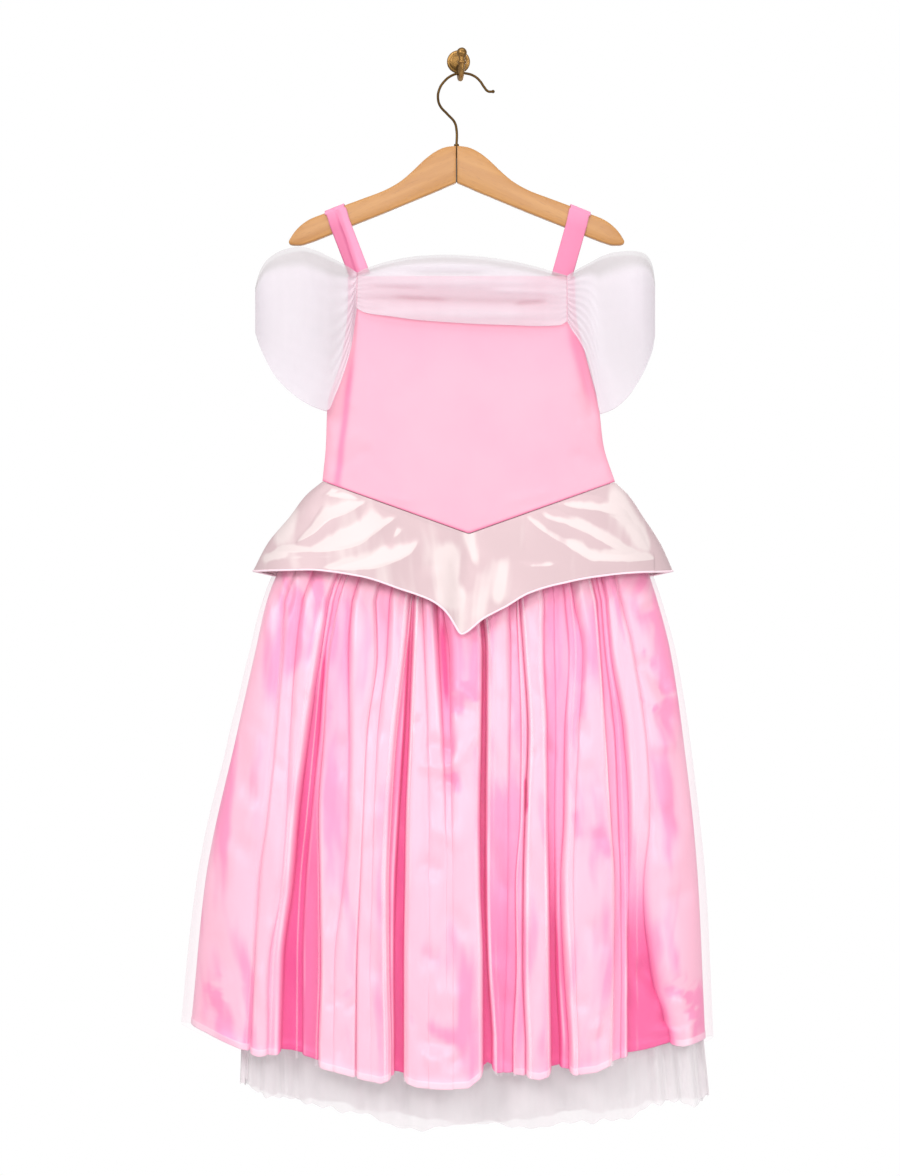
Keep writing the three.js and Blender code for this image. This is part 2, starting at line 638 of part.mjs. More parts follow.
function hangerArm(name, side) {
  const outline = new THREE.Shape();
  const inner = ARM_TOP.map(([x, z]) => new THREE.Vector2(x, z));
  outline.moveTo(-WOOD_BEVEL * 2, ARM_TOP[0][1]);
  outline.lineTo(...ARM_TOP[0]);
  outline.splineThru(inner.slice(1));
  ARM_BOTTOM.forEach(([x, z]) => outline.lineTo(x, z));
  outline.lineTo(-WOOD_BEVEL * 2, ARM_BOTTOM.at(-1)[1]);
  const geometry = new THREE.ExtrudeGeometry(outline, {
    depth: HANGER_THICK - 2 * WOOD_BEVEL,
    bevelEnabled: true,
    bevelThickness: WOOD_BEVEL,
    bevelSize: WOOD_BEVEL,
    bevelOffset: -WOOD_BEVEL,
    bevelSegments: 2,
    curveSegments: ARM_STEPS,
  });
  geometry.translate(0, 0, WOOD_BEVEL - HANGER_THICK / 2);
  geometry.rotateX(Math.PI / 2);
  const socketLength = 60;
  const socketR = WIRE_R + SEAM_GAP + 0.1;
  const socket = new THREE.CylinderGeometry(socketR, socketR, socketLength, 12);
  socket.rotateX(Math.PI / 2);
  socket.translate(0, 0, WIRE_SOCKET_END - SEAM_GAP + socketLength / 2);
  const arm = toSolid(geometry)
    .trimByPlane([1, 0, 0], SEAM_GAP / 2)
    .subtract(toSolid(socket));
  const mesh = piece(name, "wood", toGeometry(arm));
  mesh.position.set(HANGER_X, HANGER_Y, 0);
  if (side < 0) mesh.rotation.z = Math.PI;
  return mesh;
}

// The wire is a question mark, and its crown rests in the wall hook's trough.
const WIRE_PATH = [[-2, WIRE_SOCKET_END], [-2, -88], [-2, -72], [-4, -64], [-11, -56], [-18.6, -47.4], [-20.8, -40], [-19.6, -31], [-14.5, -22.6], [-6.5, -16.4], [1, -14.4], [8.5, -14.6], [16, -17.2], [21.8, -22.2], [26, -28.4], [30, -32.6], [35, -32.8]];
const WIRE_STEPS = 42;

function circle(radius, sides) {
  const shape = new THREE.Shape();
  for (let i = 0; i < sides; i += 1) {
    const turn = (2 * Math.PI * i) / sides;
    const to = [radius * Math.cos(turn), radius * Math.sin(turn)];
    if (i === 0) shape.moveTo(...to);
    else shape.lineTo(...to);
  }
  return shape;
}

function rod(points, radius, sides, steps) {
  return new THREE.ExtrudeGeometry(circle(radius, sides), {
    steps,
    extrudePath: new THREE.CatmullRomCurve3(points),
    curveSegments: 1,
  });
}

function hangerWire() {
  const points = WIRE_PATH.map(([x, z]) => new THREE.Vector3(x, HANGER_Y, z));
  return piece("hanger_wire", "brass", rod(points, WIRE_R, 8, WIRE_STEPS));
}

function wallPlate() {
  const profile = [[0, 0], [PLATE_R, 0], [PLATE_R, 1.4], [PLATE_R - 1.2, 2.3], [PLATE_R - 4, PLATE_THICK], [0, PLATE_THICK]];
  const geometry = new THREE.LatheGeometry(
    profile.map(([r, h]) => new THREE.Vector2(r, h)),
    32,
  );
  geometry.rotateX(Math.PI);
  return piece("wall_plate", "brass", geometry);
}

// The arm leaves the plate, dips into a trough for the wire, and rises in front to a collar and
// a ball. It leans to the right by TURN as it comes forward.
const PRONG_TURN = 0.1;
const PRONG_PATH = [[-PLATE_THICK - SEAM_GAP - 0.3, -6], [-6, -6], [-9.5, -9], [-12, -15.5], [-17, -19.6], [-24, -19], [-30, -14.5], [-32.5, -7], [-33, 0]];
const COLLAR = { z: -5.5, r: 4.5, half: 1.5 };
const BALL = { z: 4, r: 5.2 };
const BALL_RINGS = 8;

function wallArm() {
  const points = PRONG_PATH.map(([y, z]) => new THREE.Vector3(0, y, z));
  const prong = toSolid(rod(points, PRONG_R, 10, 18));
  const front = PRONG_PATH.at(-1)[0];
  const collar = new THREE.CylinderGeometry(COLLAR.r, COLLAR.r, 2 * COLLAR.half, 14);
  collar.rotateX(Math.PI / 2);
  collar.translate(0, front, COLLAR.z);
  const ball = new THREE.SphereGeometry(BALL.r, 14, BALL_RINGS);
  ball.translate(0, front, BALL.z);
  const arm = prong.add(toSolid(collar)).add(toSolid(ball));
  const mesh = piece("wall_arm", "brass", toGeometry(arm));
  mesh.rotation.z = PRONG_TURN;
  return mesh;
}

const dress = new THREE.Group();
dress.add(
  wallPlate(),
  wallArm(),
  hangerWire(),
  hangerArm("hanger_arm_left", -1),
  hangerArm("hanger_arm_right", 1),
  strap("strap_left"),
  strap("strap_right"),
  bodicePanel("bodice_front", true),
  bodicePanel("bodice_back", false),
  bandPanel("neck_band_front", true),
  bandPanel("neck_band_back", false),
  sleeve("sleeve_left", SLEEVE_LEFT),
  sleeve("sleeve_right", SLEEVE_RIGHT),
  peplumPanel("peplum_front", true),
  peplumPanel("peplum_back", false),
  skirtPanel("skirt_front", true),
  skirtPanel("skirt_back", false),
  overskirtPanel("overskirt_front", true),
  overskirtPanel("overskirt_back", false),
  petticoatPanel("petticoat_front", true),
  petticoatPanel("petticoat_back", false),
);

export default dress;
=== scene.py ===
# %% [markdown]
# # A child's party gown on a hanger
#
# The gown hangs flat on a small wooden hanger, from a brass hook on a wall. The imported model
# gives each piece its size and place. This script keeps those and gives each piece its real
# surface: folds, gathers, seams and finishes. Every length in the tables is in millimetres,
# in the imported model's own frame: the origin is where the hook meets the wall, +Z is up, and
# the gown faces -Y.

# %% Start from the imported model
import math

import bpy
import numpy as np
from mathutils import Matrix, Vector


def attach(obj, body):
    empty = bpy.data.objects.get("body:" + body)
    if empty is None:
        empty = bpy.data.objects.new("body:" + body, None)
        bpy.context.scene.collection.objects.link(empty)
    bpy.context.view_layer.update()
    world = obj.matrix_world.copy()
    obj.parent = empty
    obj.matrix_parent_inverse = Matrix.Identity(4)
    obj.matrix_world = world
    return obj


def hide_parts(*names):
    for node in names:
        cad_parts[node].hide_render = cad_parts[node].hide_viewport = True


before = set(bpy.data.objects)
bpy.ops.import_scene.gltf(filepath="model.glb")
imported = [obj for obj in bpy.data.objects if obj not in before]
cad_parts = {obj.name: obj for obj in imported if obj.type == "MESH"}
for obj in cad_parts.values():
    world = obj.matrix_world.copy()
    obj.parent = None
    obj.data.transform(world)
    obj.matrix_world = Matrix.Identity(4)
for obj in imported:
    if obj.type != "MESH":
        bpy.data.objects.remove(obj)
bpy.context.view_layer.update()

MM = 0.001

# %% [markdown]
# ## The camera
#
# The picture seems to be taken level with the middle of the gown, from about three metres.
# One pixel of it is taken as one millimetre in a plane 60 mm in front of the wall, so the lens
# follows from the picture's height. A perspective camera is used, because the puffed sleeves
# and the skirt stand at different depths, and only perspective sets them side by side as the
# picture does.

# %% Camera
PICTURE_HIGH = 1176
SHARP_PLANE_Y = -60
CAMERA_PLACE = (-8.66, -3200, -536.05)
SENSOR = 36

bpy.ops.object.camera_add(location=[v * MM for v in CAMERA_PLACE], rotation=(math.pi / 2, 0, 0))
camera = bpy.context.object
camera.data.sensor_width = SENSOR
camera.data.lens = SENSOR * (SHARP_PLANE_Y - CAMERA_PLACE[1]) / PICTURE_HIGH
camera.data.clip_end = 20
bpy.context.scene.camera = camera
print("lens", round(camera.data.lens, 1), "mm")

# %% [markdown]
# ## Light and floor
#
# The picture is bright and soft, with only the insides of the folds dark. A pale world lights
# the cloth from all round, and is seen as white behind it. Area lights do the rest, because a
# light's size sets how soft its highlight is. A broad one over the camera gives the satin its
# cloudy highlights, one at each side shows up the folds, and one overhead picks out the
# peplum's creases. One more behind keeps the back from going dull. The floor lies well below
# the hem.

# %% Light and floor
FLOOR_Z = -1500
scene = bpy.context.scene
scene.view_settings.view_transform = "Standard"

world = bpy.data.worlds.new("pale_studio")
world.use_nodes = True
studio = world.node_tree
seen, lit = studio.nodes["Background"], studio.nodes.new("ShaderNodeBackground")
seen.inputs["Color"].default_value = (1, 1, 1, 1)
lit.inputs["Color"].default_value = (1, 0.985, 0.985, 1)
lit.inputs["Strength"].default_value = 0.55
which = studio.nodes.new("ShaderNodeLightPath")
chosen = studio.nodes.new("ShaderNodeMixShader")
studio.links.new(which.outputs["Is Camera Ray"], chosen.inputs[0])
studio.links.new(lit.outputs[0], chosen.inputs[1])
studio.links.new(seen.outputs[0], chosen.inputs[2])
studio.links.new(chosen.outputs[0], studio.nodes["World Output"].inputs["Surface"])
scene.world = world


def soft_light(name, place, aim, size, power, high=None):
    """An area light at place, turned to aim, size wide and high."""
    spot = Vector(place) * MM
    turn = (Vector(aim) * MM - spot).to_track_quat("-Z", "Y").to_euler()
    bpy.ops.object.light_add(type="AREA", location=spot, rotation=turn)
    light = bpy.context.object
    light.name = name
    light.data.shape = "RECTANGLE"
    light.data.size = size * MM
    light.data.size_y = (high or size) * MM
    light.data.energy = power
    light.visible_camera = False
    return light


soft_light("front_light", (0, -3700, 420), (0, -60, -650), 1500, 29, high=1100)
soft_light("key_light", (-1800, -2200, 800), (0, -40, -560), 1000, 30)
soft_light("top_light", (0, -700, 1350), (0, -60, -500), 2200, 13, high=900)
soft_light("fill_light", (1900, -2000, -300), (0, -40, -650), 1300, 17)
soft_light("back_light", (500, 2600, 500), (0, 0, -600), 1800, 30)

bpy.ops.mesh.primitive_circle_add(vertices=96, radius=1.9, fill_type="NGON", location=(0, 0, FLOOR_Z * MM))
floor = bpy.context.object
floor.name = "floor"

# %% [markdown]
# ## Numbers that run down a piece
#
# A gown widens and deepens row by row. Each table below gives a few rows, and a smooth curve
# through them gives every height between. The curve never swings past its rows, which a plain
# spline would do where a row changes fast, so a skirt doesn't bulge above its waist.

# %% Tables and smooth curves


def table(names, *rows):
    """Named columns from rows of numbers."""
    columns = names.split()
    return {name: np.array([row[i] for row in rows], float) for i, name in enumerate(columns)}


def smooth_curve(keys, values, at):
    """Values at any key, on a curve through the rows that doesn't overshoot them."""
    steps = np.diff(keys)
    slopes = np.diff(values) / steps
    turns = np.zeros(len(keys))
    turns[0], turns[-1] = slopes[0], slopes[-1]
    for i in range(1, len(keys) - 1):
        if slopes[i - 1] * slopes[i] > 0:
            near, far = 2 * steps[i] + steps[i - 1], steps[i] + 2 * steps[i - 1]
            turns[i] = (near + far) / (near / slopes[i - 1] + far / slopes[i])
    at = np.clip(at, keys[0], keys[-1])
    i = np.clip(np.searchsorted(keys, at, side="right") - 1, 0, len(steps) - 1)
    t = (at - keys[i]) / steps[i]
    return (
        values[i] * (1 + 2 * t) * (1 - t) ** 2
        + turns[i] * steps[i] * t * (1 - t) ** 2
        + values[i + 1] * t**2 * (3 - 2 * t)
        + turns[i + 1] * steps[i] * t**2 * (t - 1)
    )


def rows_at(rows, key, at):
    """Every column of a table at the given keys."""
    return {name: smooth_curve(rows[key], values, at) for name, values in rows.items()}


def ease(t):
    """From 0 to 1 with a gentle start and end."""
    t = np.clip(t, 0, 1)
    return t * t * (3 - 2 * t)


def ripples(x, z, wide, high, seed, count=9):
    """Uneven soft waves between about -1 and 1, wide across and high down. The seed fixes them."""
    draw = np.random.default_rng(seed)
    total = np.zeros(np.broadcast(x, z).shape)
    for _ in range(count):
        turn_x = draw.uniform(-1, 1) * 2 * math.pi / wide
        turn_z = draw.uniform(-1, 1) * 2 * math.pi / high
        total += np.sin(x * turn_x + z * turn_z + draw.uniform(0, 2 * math.pi))
    return total / math.sqrt(count) / 1.4


def troughs(x, z, creases):
    """How far cloth is pushed out by creases placed by hand. Each has the x and z of one end
    and of the other, its width and its height. It fades towards both ends, and is a ridge if
    its height is above 0 and a trough if below."""
    total = np.zeros(x.shape)
    for x0, z0, x1, z1, wide, height in creases:
        long_x, long_z = x1 - x0, z1 - z0
        span = math.hypot(long_x, long_z)
        along = ((x - x0) * long_x + (z - z0) * long_z) / span**2
        aside = ((x - x0) * long_z - (z - z0) * long_x) / span
        fade = ease(along / 0.3) * ease((1 - along) / 0.3)
        total += height * fade * np.exp(-((aside / wide) ** 2))
    return total


halfway = smooth_curve(np.arange(3.0), np.array([0, 10, 11.0]), np.array([0.5, 1.5]))
print("a curve through 0, 10 and 11 passes", halfway.round(2), "on its way")

# %% [markdown]
# ## Sheets of cloth
#
# A sheet starts as Blender's flat grid, and its points are then moved onto the garment. The
# grid keeps its own UV map, which is set here to lengths along the cloth in metres, so that
# threads keep their size on every piece and in every fold. Moving a grid's points is chosen
# over sculpting or simulation because each fold can then be put where the picture has it.

# %% Sheets of cloth


def deselect_all():
    """Operators act on all that is selected, so this comes before each new piece."""
    bpy.ops.object.select_all(action="DESELECT")


def outward(points):
    """The outward direction at each point of a grid, from its neighbours down and across."""
    down = np.gradient(points, axis=0)
    across = np.gradient(points, axis=1)
    normal = np.cross(down, across)
    length = np.linalg.norm(normal, axis=2, keepdims=True)
    return normal / np.maximum(length, 1e-9)


def laid_flat(points):
    """Each point's place on the flat cloth in metres, from lengths along its row and column."""
    across = np.cumsum(np.linalg.norm(np.diff(points, axis=1, prepend=points[:, :1]), axis=2), axis=1)
    down = np.cumsum(np.linalg.norm(np.diff(points, axis=0, prepend=points[:1]), axis=2), axis=0)
    middle = points.shape[1] // 2
    across = across - across[:, middle : middle + 1]
    down = np.broadcast_to(down.mean(axis=1, keepdims=True), across.shape)
    return np.stack([across, -down], axis=2) * MM


def cloth_sheet(name, points, thickness=0.0, marks=None):
    """A sheet whose points are rows by columns by three, in mm. thickness gives it a wall behind
    its face, and marks are numbers kept on each point for its material."""
    rows, columns = points.shape[0] - 1, points.shape[1] - 1
    deselect_all()
    bpy.ops.mesh.primitive_grid_add(x_subdivisions=columns, y_subdivisions=rows, size=2)
    sheet = bpy.context.object
    sheet.name = name
    mesh = sheet.data
    flat = np.empty(len(mesh.vertices) * 3)
    mesh.vertices.foreach_get("co", flat)
    flat = np.round(flat.reshape(-1, 3), 5)
    order = np.lexsort((flat[:, 0], -flat[:, 1]))
    flat[order] = points.reshape(-1, 3) * MM
    mesh.vertices.foreach_set("co", flat.ravel())
    corners = np.empty(len(mesh.loops), dtype=int)
    mesh.loops.foreach_get("vertex_index", corners)
    places = np.empty((len(mesh.vertices), 2))
    places[order] = laid_flat(points).reshape(-1, 2)
    mesh.uv_layers.active.data.foreach_set("uv", places[corners].ravel())
    for mark, values in (marks or {}).items():
        kept = np.empty(len(mesh.vertices))
        kept[order] = values.ravel()
        mesh.attributes.new(mark, "FLOAT", "POINT").data.foreach_set("value", kept)
    mesh.update()
    if thickness:
        wall = sheet.modifiers.new("wall", "SOLIDIFY")
        wall.thickness = thickness * MM
        wall.offset = -1
        bpy.ops.object.modifier_apply(modifier="wall")
    bpy.ops.object.shade_smooth()
    print(name, len(mesh.vertices), "points")
    return sheet


# %% [markdown]
# ## The gown's sections
#
# Cut level, the gown is a flattened oval: its left and right ends are the side seams, and its
# front and back bulge between them. Ovals could be drawn one by one and joined. A formula is
# used here, because every layer of the gown then follows the same form. A place across a panel
# is a number from -1 at the left seam to 1 at the right. Columns are set closer together
# towards the seams, where the oval turns fastest.

# %% Sections
ROUNDNESS = 2.6


def round_the_side(turn):
    """The place across a section for an even count from -1 to 1 round it."""
    return np.sin(turn * math.pi / 2)


def count_round(across):
    """The even count round a section for a place across it."""
    return np.arcsin(across) / (math.pi / 2)


def on_section(row, across, face):
    """Places on the plain form. row holds the columns of a table for each row, and face is
    front or back."""
    column = {name: values.reshape(-1, 1) for name, values in row.items()}
    middle = (column["left"] + column["right"]) / 2
    half = (column["right"] - column["left"]) / 2
    rise = np.sqrt(np.clip(1 - np.abs(across) ** ROUNDNESS, 0, 1))
    edge = column.get(face + "_edge", column["seam"])
    x = middle + half * across
    y = edge + (column[face] - edge) * rise
    side_z = np.where(across < 0, column["left_z"], column["right_z"])
    z = column["centre_z"] + (side_z - column["centre_z"]) * np.abs(across) ** column["vee"]
    return np.stack(np.broadcast_arrays(x, y, z), axis=2)


def pushed_out(points, distance, face):
    """Points moved outwards by a distance for each. A back panel is turned, so that it also
    runs from its own left to its own right and its face looks outwards."""
    if face == "back":
        points, distance = points[:, ::-1], distance[:, ::-1]
    return points + outward(points) * distance[..., None]


first_tenth = 50 * (1 + round_the_side(-0.8))
print("the first tenth of a panel's columns covers", round(first_tenth, 1), "% of its width")

# %% [markdown]
# ## Finishes
#
# Each finish is a small node tree on Blender's Principled shader. A painted image could carry
# the same patterns, but a pattern made of nodes stays sharp close up and is easy to change.
# Cloth reads its UV map in metres, so threads keep their size. Wood and brass read Object
# coordinates, which run in metres from the origin.

# %% Helpers for finishes


def new_finish(name):
    """A material with its node tree and Principled shader."""
    finish = bpy.data.materials.new(name)
    finish.use_nodes = True
    tree = finish.node_tree
    return finish, tree, tree.nodes["Principled BSDF"]


def add(tree, kind, links=None, **settings):
    """A node with its settings, its input values, and links from other nodes' outputs."""
    node = tree.nodes.new("ShaderNode" + kind)
    for setting, value in settings.items():
        setattr(node, setting, value)
    for socket, source in (links or {}).items():
        if isinstance(source, bpy.types.NodeSocket):
            tree.links.new(source, node.inputs[socket])
        else:
            node.inputs[socket].default_value = source
    return node


def cloth_coordinates(tree, scale):
    """The piece's UV map in metres, times a scale across and down."""
    uv = add(tree, "UVMap")
    return add(tree, "Mapping", {"Vector": uv.outputs["UV"], "Scale": scale}).outputs["Vector"]


def blend_colours(tree, factor, first, second):
    """A mix of two colours, by a number from 0 to 1 for each place."""
    mix = add(tree, "Mix", data_type="RGBA")
    for socket, value in ((0, factor), (6, first), (7, second)):
        if isinstance(value, bpy.types.NodeSocket):
            tree.links.new(value, mix.inputs[socket])
        else:
            mix.inputs[socket].default_value = value
    return mix.outputs[2]


def stepped(tree, source, low, high, to_low=0.0, to_high=1.0):
    """Maps a range of numbers to another, held at both ends."""
    return add(
        tree,
        "MapRange",
        {0: source, 1: low, 2: high, 3: to_low, 4: to_high},
        interpolation_type="SMOOTHSTEP",
    ).outputs[0]


def raised(tree, height, strength, distance):
    """A bump from a height between 0 and 1. distance is its real height in mm."""
    bump = add(tree, "Bump", {"Height": height, "Strength": strength, "Distance": distance * MM})
    return bump.outputs["Normal"]


# %% [markdown]
# ## Satin
#
# Satin has long smooth threads on its face, so it shines in soft bands, with faint slubs that
# run across. Light bounces between the pink walls of a deep fold and comes out redder. A render
# has time for only a few bounces, so the mesh also carries how deep each point lies, as
# painted_shade, and shade is painted into the colour by it, deeper and redder down a fold.
# Three more marks steer the colour: cloud places the painted darker and paler patches of the
# shine, lip_highlight paints a pale highlight on the lip of a fold, and hem_band pales a
# narrow band along the hem, less in deep folds.

# %% Satin
LIP_HIGHLIGHT_COLOUR = (0.97, 0.74, 0.83)
PALE_HEM = (0.96, 0.76, 0.84)


def satin_finish(name, light, mid, deep, rough, metal, cloudy, grainy):
    """light, mid and deep are its colours on a fold, part of the way in and at the bottom, which
    paint the fold's shade. cloudy is how far the middle colour shows in soft patches on a flat
    panel, painted as the duller parts of the shine, and grainy how much its slubs show."""
    finish, tree, shader = new_finish(name)
    small = add(tree, "TexNoise", {"Vector": cloth_coordinates(tree, (1, 0.2, 1)), "Scale": 40, "Detail": 2})
    broad = add(tree, "TexNoise", {"Vector": cloth_coordinates(tree, (1, 0.3, 1)), "Scale": 14, "Detail": 1})
    noise = add(tree, "Math", {0: small.outputs["Fac"], 1: broad.outputs["Fac"]}, operation="ADD").outputs[0]
    placed = add(tree, "Attribute", attribute_name="cloud").outputs["Fac"]
    cloud = add(tree, "Math", {0: placed, 1: 0.26, 2: noise}, operation="MULTIPLY_ADD").outputs[0]
    slub = add(tree, "TexNoise", {"Vector": cloth_coordinates(tree, (60, 2600, 1)), "Scale": 1, "Detail": 2})
    along = cloth_coordinates(tree, (3800, 90, 1))
    thread = add(tree, "TexNoise", {"Vector": along, "Scale": 1, "Detail": 1})
    depth = add(tree, "Attribute", attribute_name="painted_shade").outputs["Fac"]
    # Painted light and shade: patches of the shine, shade down each fold, and a highlight on its lip.
    face = blend_colours(tree, stepped(tree, cloud, 0.94, 1.25, 0.0, cloudy), (*light, 1), (*mid, 1))
    mid_shaded = blend_colours(tree, stepped(tree, depth, 0.04, 0.5), face, (*mid, 1))
    deep_shaded = blend_colours(tree, stepped(tree, depth, 0.3, 0.9), mid_shaded, (*deep, 1))
    edge = add(tree, "Attribute", attribute_name="lip_highlight").outputs["Fac"]
    with_lip_highlight = blend_colours(tree, stepped(tree, edge, 0.0, 1.0, 0.0, 0.5), deep_shaded, (*LIP_HIGHLIGHT_COLOUR, 1))
    band = add(tree, "Attribute", attribute_name="hem_band").outputs["Fac"]
    colour = blend_colours(tree, stepped(tree, band, 0.2, 0.8, 0.0, 0.5), with_lip_highlight, (*PALE_HEM, 1))
    tree.links.new(colour, shader.inputs["Base Color"])
    gloss = stepped(tree, slub.outputs["Fac"], 0.25, 0.75, rough - 0.18 * grainy, rough + 0.18 * grainy)
    tree.links.new(gloss, shader.inputs["Roughness"])
    shader.inputs["Metallic"].default_value = metal
    shader.inputs["Sheen Weight"].default_value = 0.1
    shader.inputs["Sheen Roughness"].default_value = 0.35
    shader.inputs["Specular IOR Level"].default_value = 0.45
    grain = add(tree, "Math", {0: slub.outputs["Fac"], 1: thread.outputs["Fac"]}, operation="ADD")
    tree.links.new(raised(tree, grain.outputs[0], grainy, 0.1), shader.inputs["Normal"])
    return finish


skirt_satin = satin_finish(
    "skirt_satin", (0.955, 0.515, 0.65), (0.95, 0.28, 0.51), (0.79, 0.042, 0.245), 0.42, 0.12, 0.9, 0.2
)
ribbon_satin = satin_finish(
    "ribbon_satin", (0.83, 0.32, 0.49), (0.78, 0.225, 0.385), (0.52, 0.09, 0.21), 0.45, 0.1, 0.3, 0.3
)
pearl_satin = satin_finish(
    "pearl_satin", (0.755, 0.645, 0.64), (0.62, 0.465, 0.485), (0.5, 0.32, 0.36), 0.44, 0.15, 1.0, 0.06
)
piping_satin = satin_finish(
    "piping_satin", (0.97, 0.76, 0.83), (0.95, 0.72, 0.80), (0.9, 0.6, 0.7), 0.4, 0.1, 0.3, 0.06
)
print("four satins of", len(skirt_satin.node_tree.nodes), "nodes: skirt, straps, peplum and its piping")

# %% [markdown]
# ## Net
#
# Net is a fine mesh of holes about a millimetre wide. To model each hole would take millions
# of faces, so the holes are drawn with alpha. From a few metres the eye sees only the mean of
# threads and holes, so alpha holds that mean, and a cell pattern makes it a little denser on
# the threads. Where the net is gathered or turns away into a fold, its threads crowd together,
# so the mesh carries how crowded each point is, and the net is denser there.

# %% Net


def net_finish(name, colour, thin_colour, cover, crowded_cover, cell, patchy):
    """cover is how much of the view the net hides lying flat, and crowded_cover where its
    folds pile up. One layer looks greyer than several, so it has a thin_colour. cell is the
    width of a hole in mm, and patchy is how much its cover varies from place to place."""
    finish, tree, shader = new_finish(name)
    per_metre = 1 / (cell * MM)
    mesh = add(
        tree,
        "TexVoronoi",
        {"Vector": cloth_coordinates(tree, (per_metre, per_metre, 1)), "Scale": 1, "Randomness": 0.35},
        feature="DISTANCE_TO_EDGE",
        voronoi_dimensions="2D",
    )
    thread = stepped(tree, mesh.outputs["Distance"], 0.1, 0.2, 1.0, 0.0)
    cloud = add(tree, "TexNoise", {"Vector": cloth_coordinates(tree, (1, 0.3, 1)), "Scale": 30, "Detail": 2})
    crowd = add(tree, "Attribute", attribute_name="crowding")
    base = stepped(tree, crowd.outputs["Fac"], 0.0, 1.0, cover, crowded_cover)
    uneven = stepped(tree, cloud.outputs["Fac"], 0.3, 0.7, 1 - patchy, 1 + patchy)
    even = add(tree, "Math", {0: base, 1: uneven}, operation="MULTIPLY")
    threads = stepped(tree, thread, 0.0, 1.0, 0.93, 1.14)
    alpha = add(tree, "Math", {0: even.outputs[0], 1: threads}, operation="MULTIPLY", use_clamp=True)
    tree.links.new(alpha.outputs[0], shader.inputs["Alpha"])
    many = stepped(tree, crowd.outputs["Fac"], 0.05, 0.4)
    layered = blend_colours(tree, many, (*thin_colour, 1), (*colour, 1))
    tree.links.new(layered, shader.inputs["Base Color"])
    shader.inputs["Roughness"].default_value = 0.75
    shader.inputs["Sheen Weight"].default_value = 0.25
    shader.inputs["Specular IOR Level"].default_value = 0.2
    shader.inputs["Subsurface Weight"].default_value = 0.0
    tree.links.new(raised(tree, thread, 0.06, 0.1), shader.inputs["Normal"])
    return finish


pink_net = net_finish("pink_net", (1.0, 0.82, 0.895), (0.99, 0.74, 0.85), 0.07, 0.5, 0.9, 0.14)
white_net = net_finish("white_net", (0.77, 0.71, 0.765), (0.58, 0.535, 0.555), 0.5, 0.88, 0.9, 0.04)
petticoat_net = net_finish("petticoat_net", (0.82, 0.765, 0.785), (0.80, 0.745, 0.765), 0.58, 0.9, 1.0, 0.14)
print("three nets of", len(pink_net.node_tree.nodes), "nodes: skirt, petticoat, and one for band and sleeves")

# %% [markdown]
# ## Velour
#
# The bodice is a short-piled stretch cloth. Its pile catches light at a glancing angle, which
# is what the shader's sheen is for, and its face is dull, with a faint uneven nap. Hairs could
# be grown on it, but none of a pile this short is seen from here, and a fine bump is enough.

# %% Velour


def velour_finish(name, light, deep):
    """light is the cloth's own colour, and deep its colour in its faint nap and where shade is painted on it.
    """
    finish, tree, shader = new_finish(name)
    nap = add(tree, "TexNoise", {"Vector": cloth_coordinates(tree, (1, 1, 1)), "Scale": 14, "Detail": 4})
    pile = add(tree, "TexNoise", {"Vector": cloth_coordinates(tree, (1, 1, 1)), "Scale": 2600, "Detail": 1})
    depth = add(tree, "Attribute", attribute_name="painted_shade")
    uneven = stepped(tree, nap.outputs["Fac"], 0.3, 0.7, 0.0, 0.12)
    brushed = blend_colours(tree, uneven, (*light, 1), (*deep, 1))
    colour = blend_colours(tree, stepped(tree, depth.outputs["Fac"], 0.0, 1.0), brushed, (*deep, 1))
    tree.links.new(colour, shader.inputs["Base Color"])
    shader.inputs["Roughness"].default_value = 0.85
    shader.inputs["Sheen Weight"].default_value = 0.35
    shader.inputs["Sheen Roughness"].default_value = 0.4
    shader.inputs["Specular IOR Level"].default_value = 0.25
    tree.links.new(raised(tree, pile.outputs["Fac"], 0.4, 0.25), shader.inputs["Normal"])
    return finish


pink_velour = velour_finish("pink_velour", (0.93, 0.46, 0.57), (0.92, 0.26, 0.44))
print("velour for the bodice:", len(pink_velour.node_tree.nodes), "nodes")

# %% [markdown]
# ## Wood and brass
#
# The hanger is clear-varnished beech. Its grain runs along each arm, as long streaks with
# short dark flecks, and a dark line of glue marks where the arms meet. An image wrapped round
# an arm would smear on its rounded edges, so the grain is a noise drawn out along the arm,
# which runs through the wood as real grain does. The wall hook is brass, a little dulled where
# hands don't rub it, and the hanger's wire is older and browner.

# %% Wood and brass
ARM_SLOPE = math.atan2(-75, 168)
HANGER_X = -2
BEECH, BEECH_STREAK, BEECH_FLECK = (0.53, 0.25, 0.064, 1), (0.46, 0.20, 0.046, 1), (0.28, 0.11, 0.035, 1)
GLUE = (0.10, 0.05, 0.018, 1)


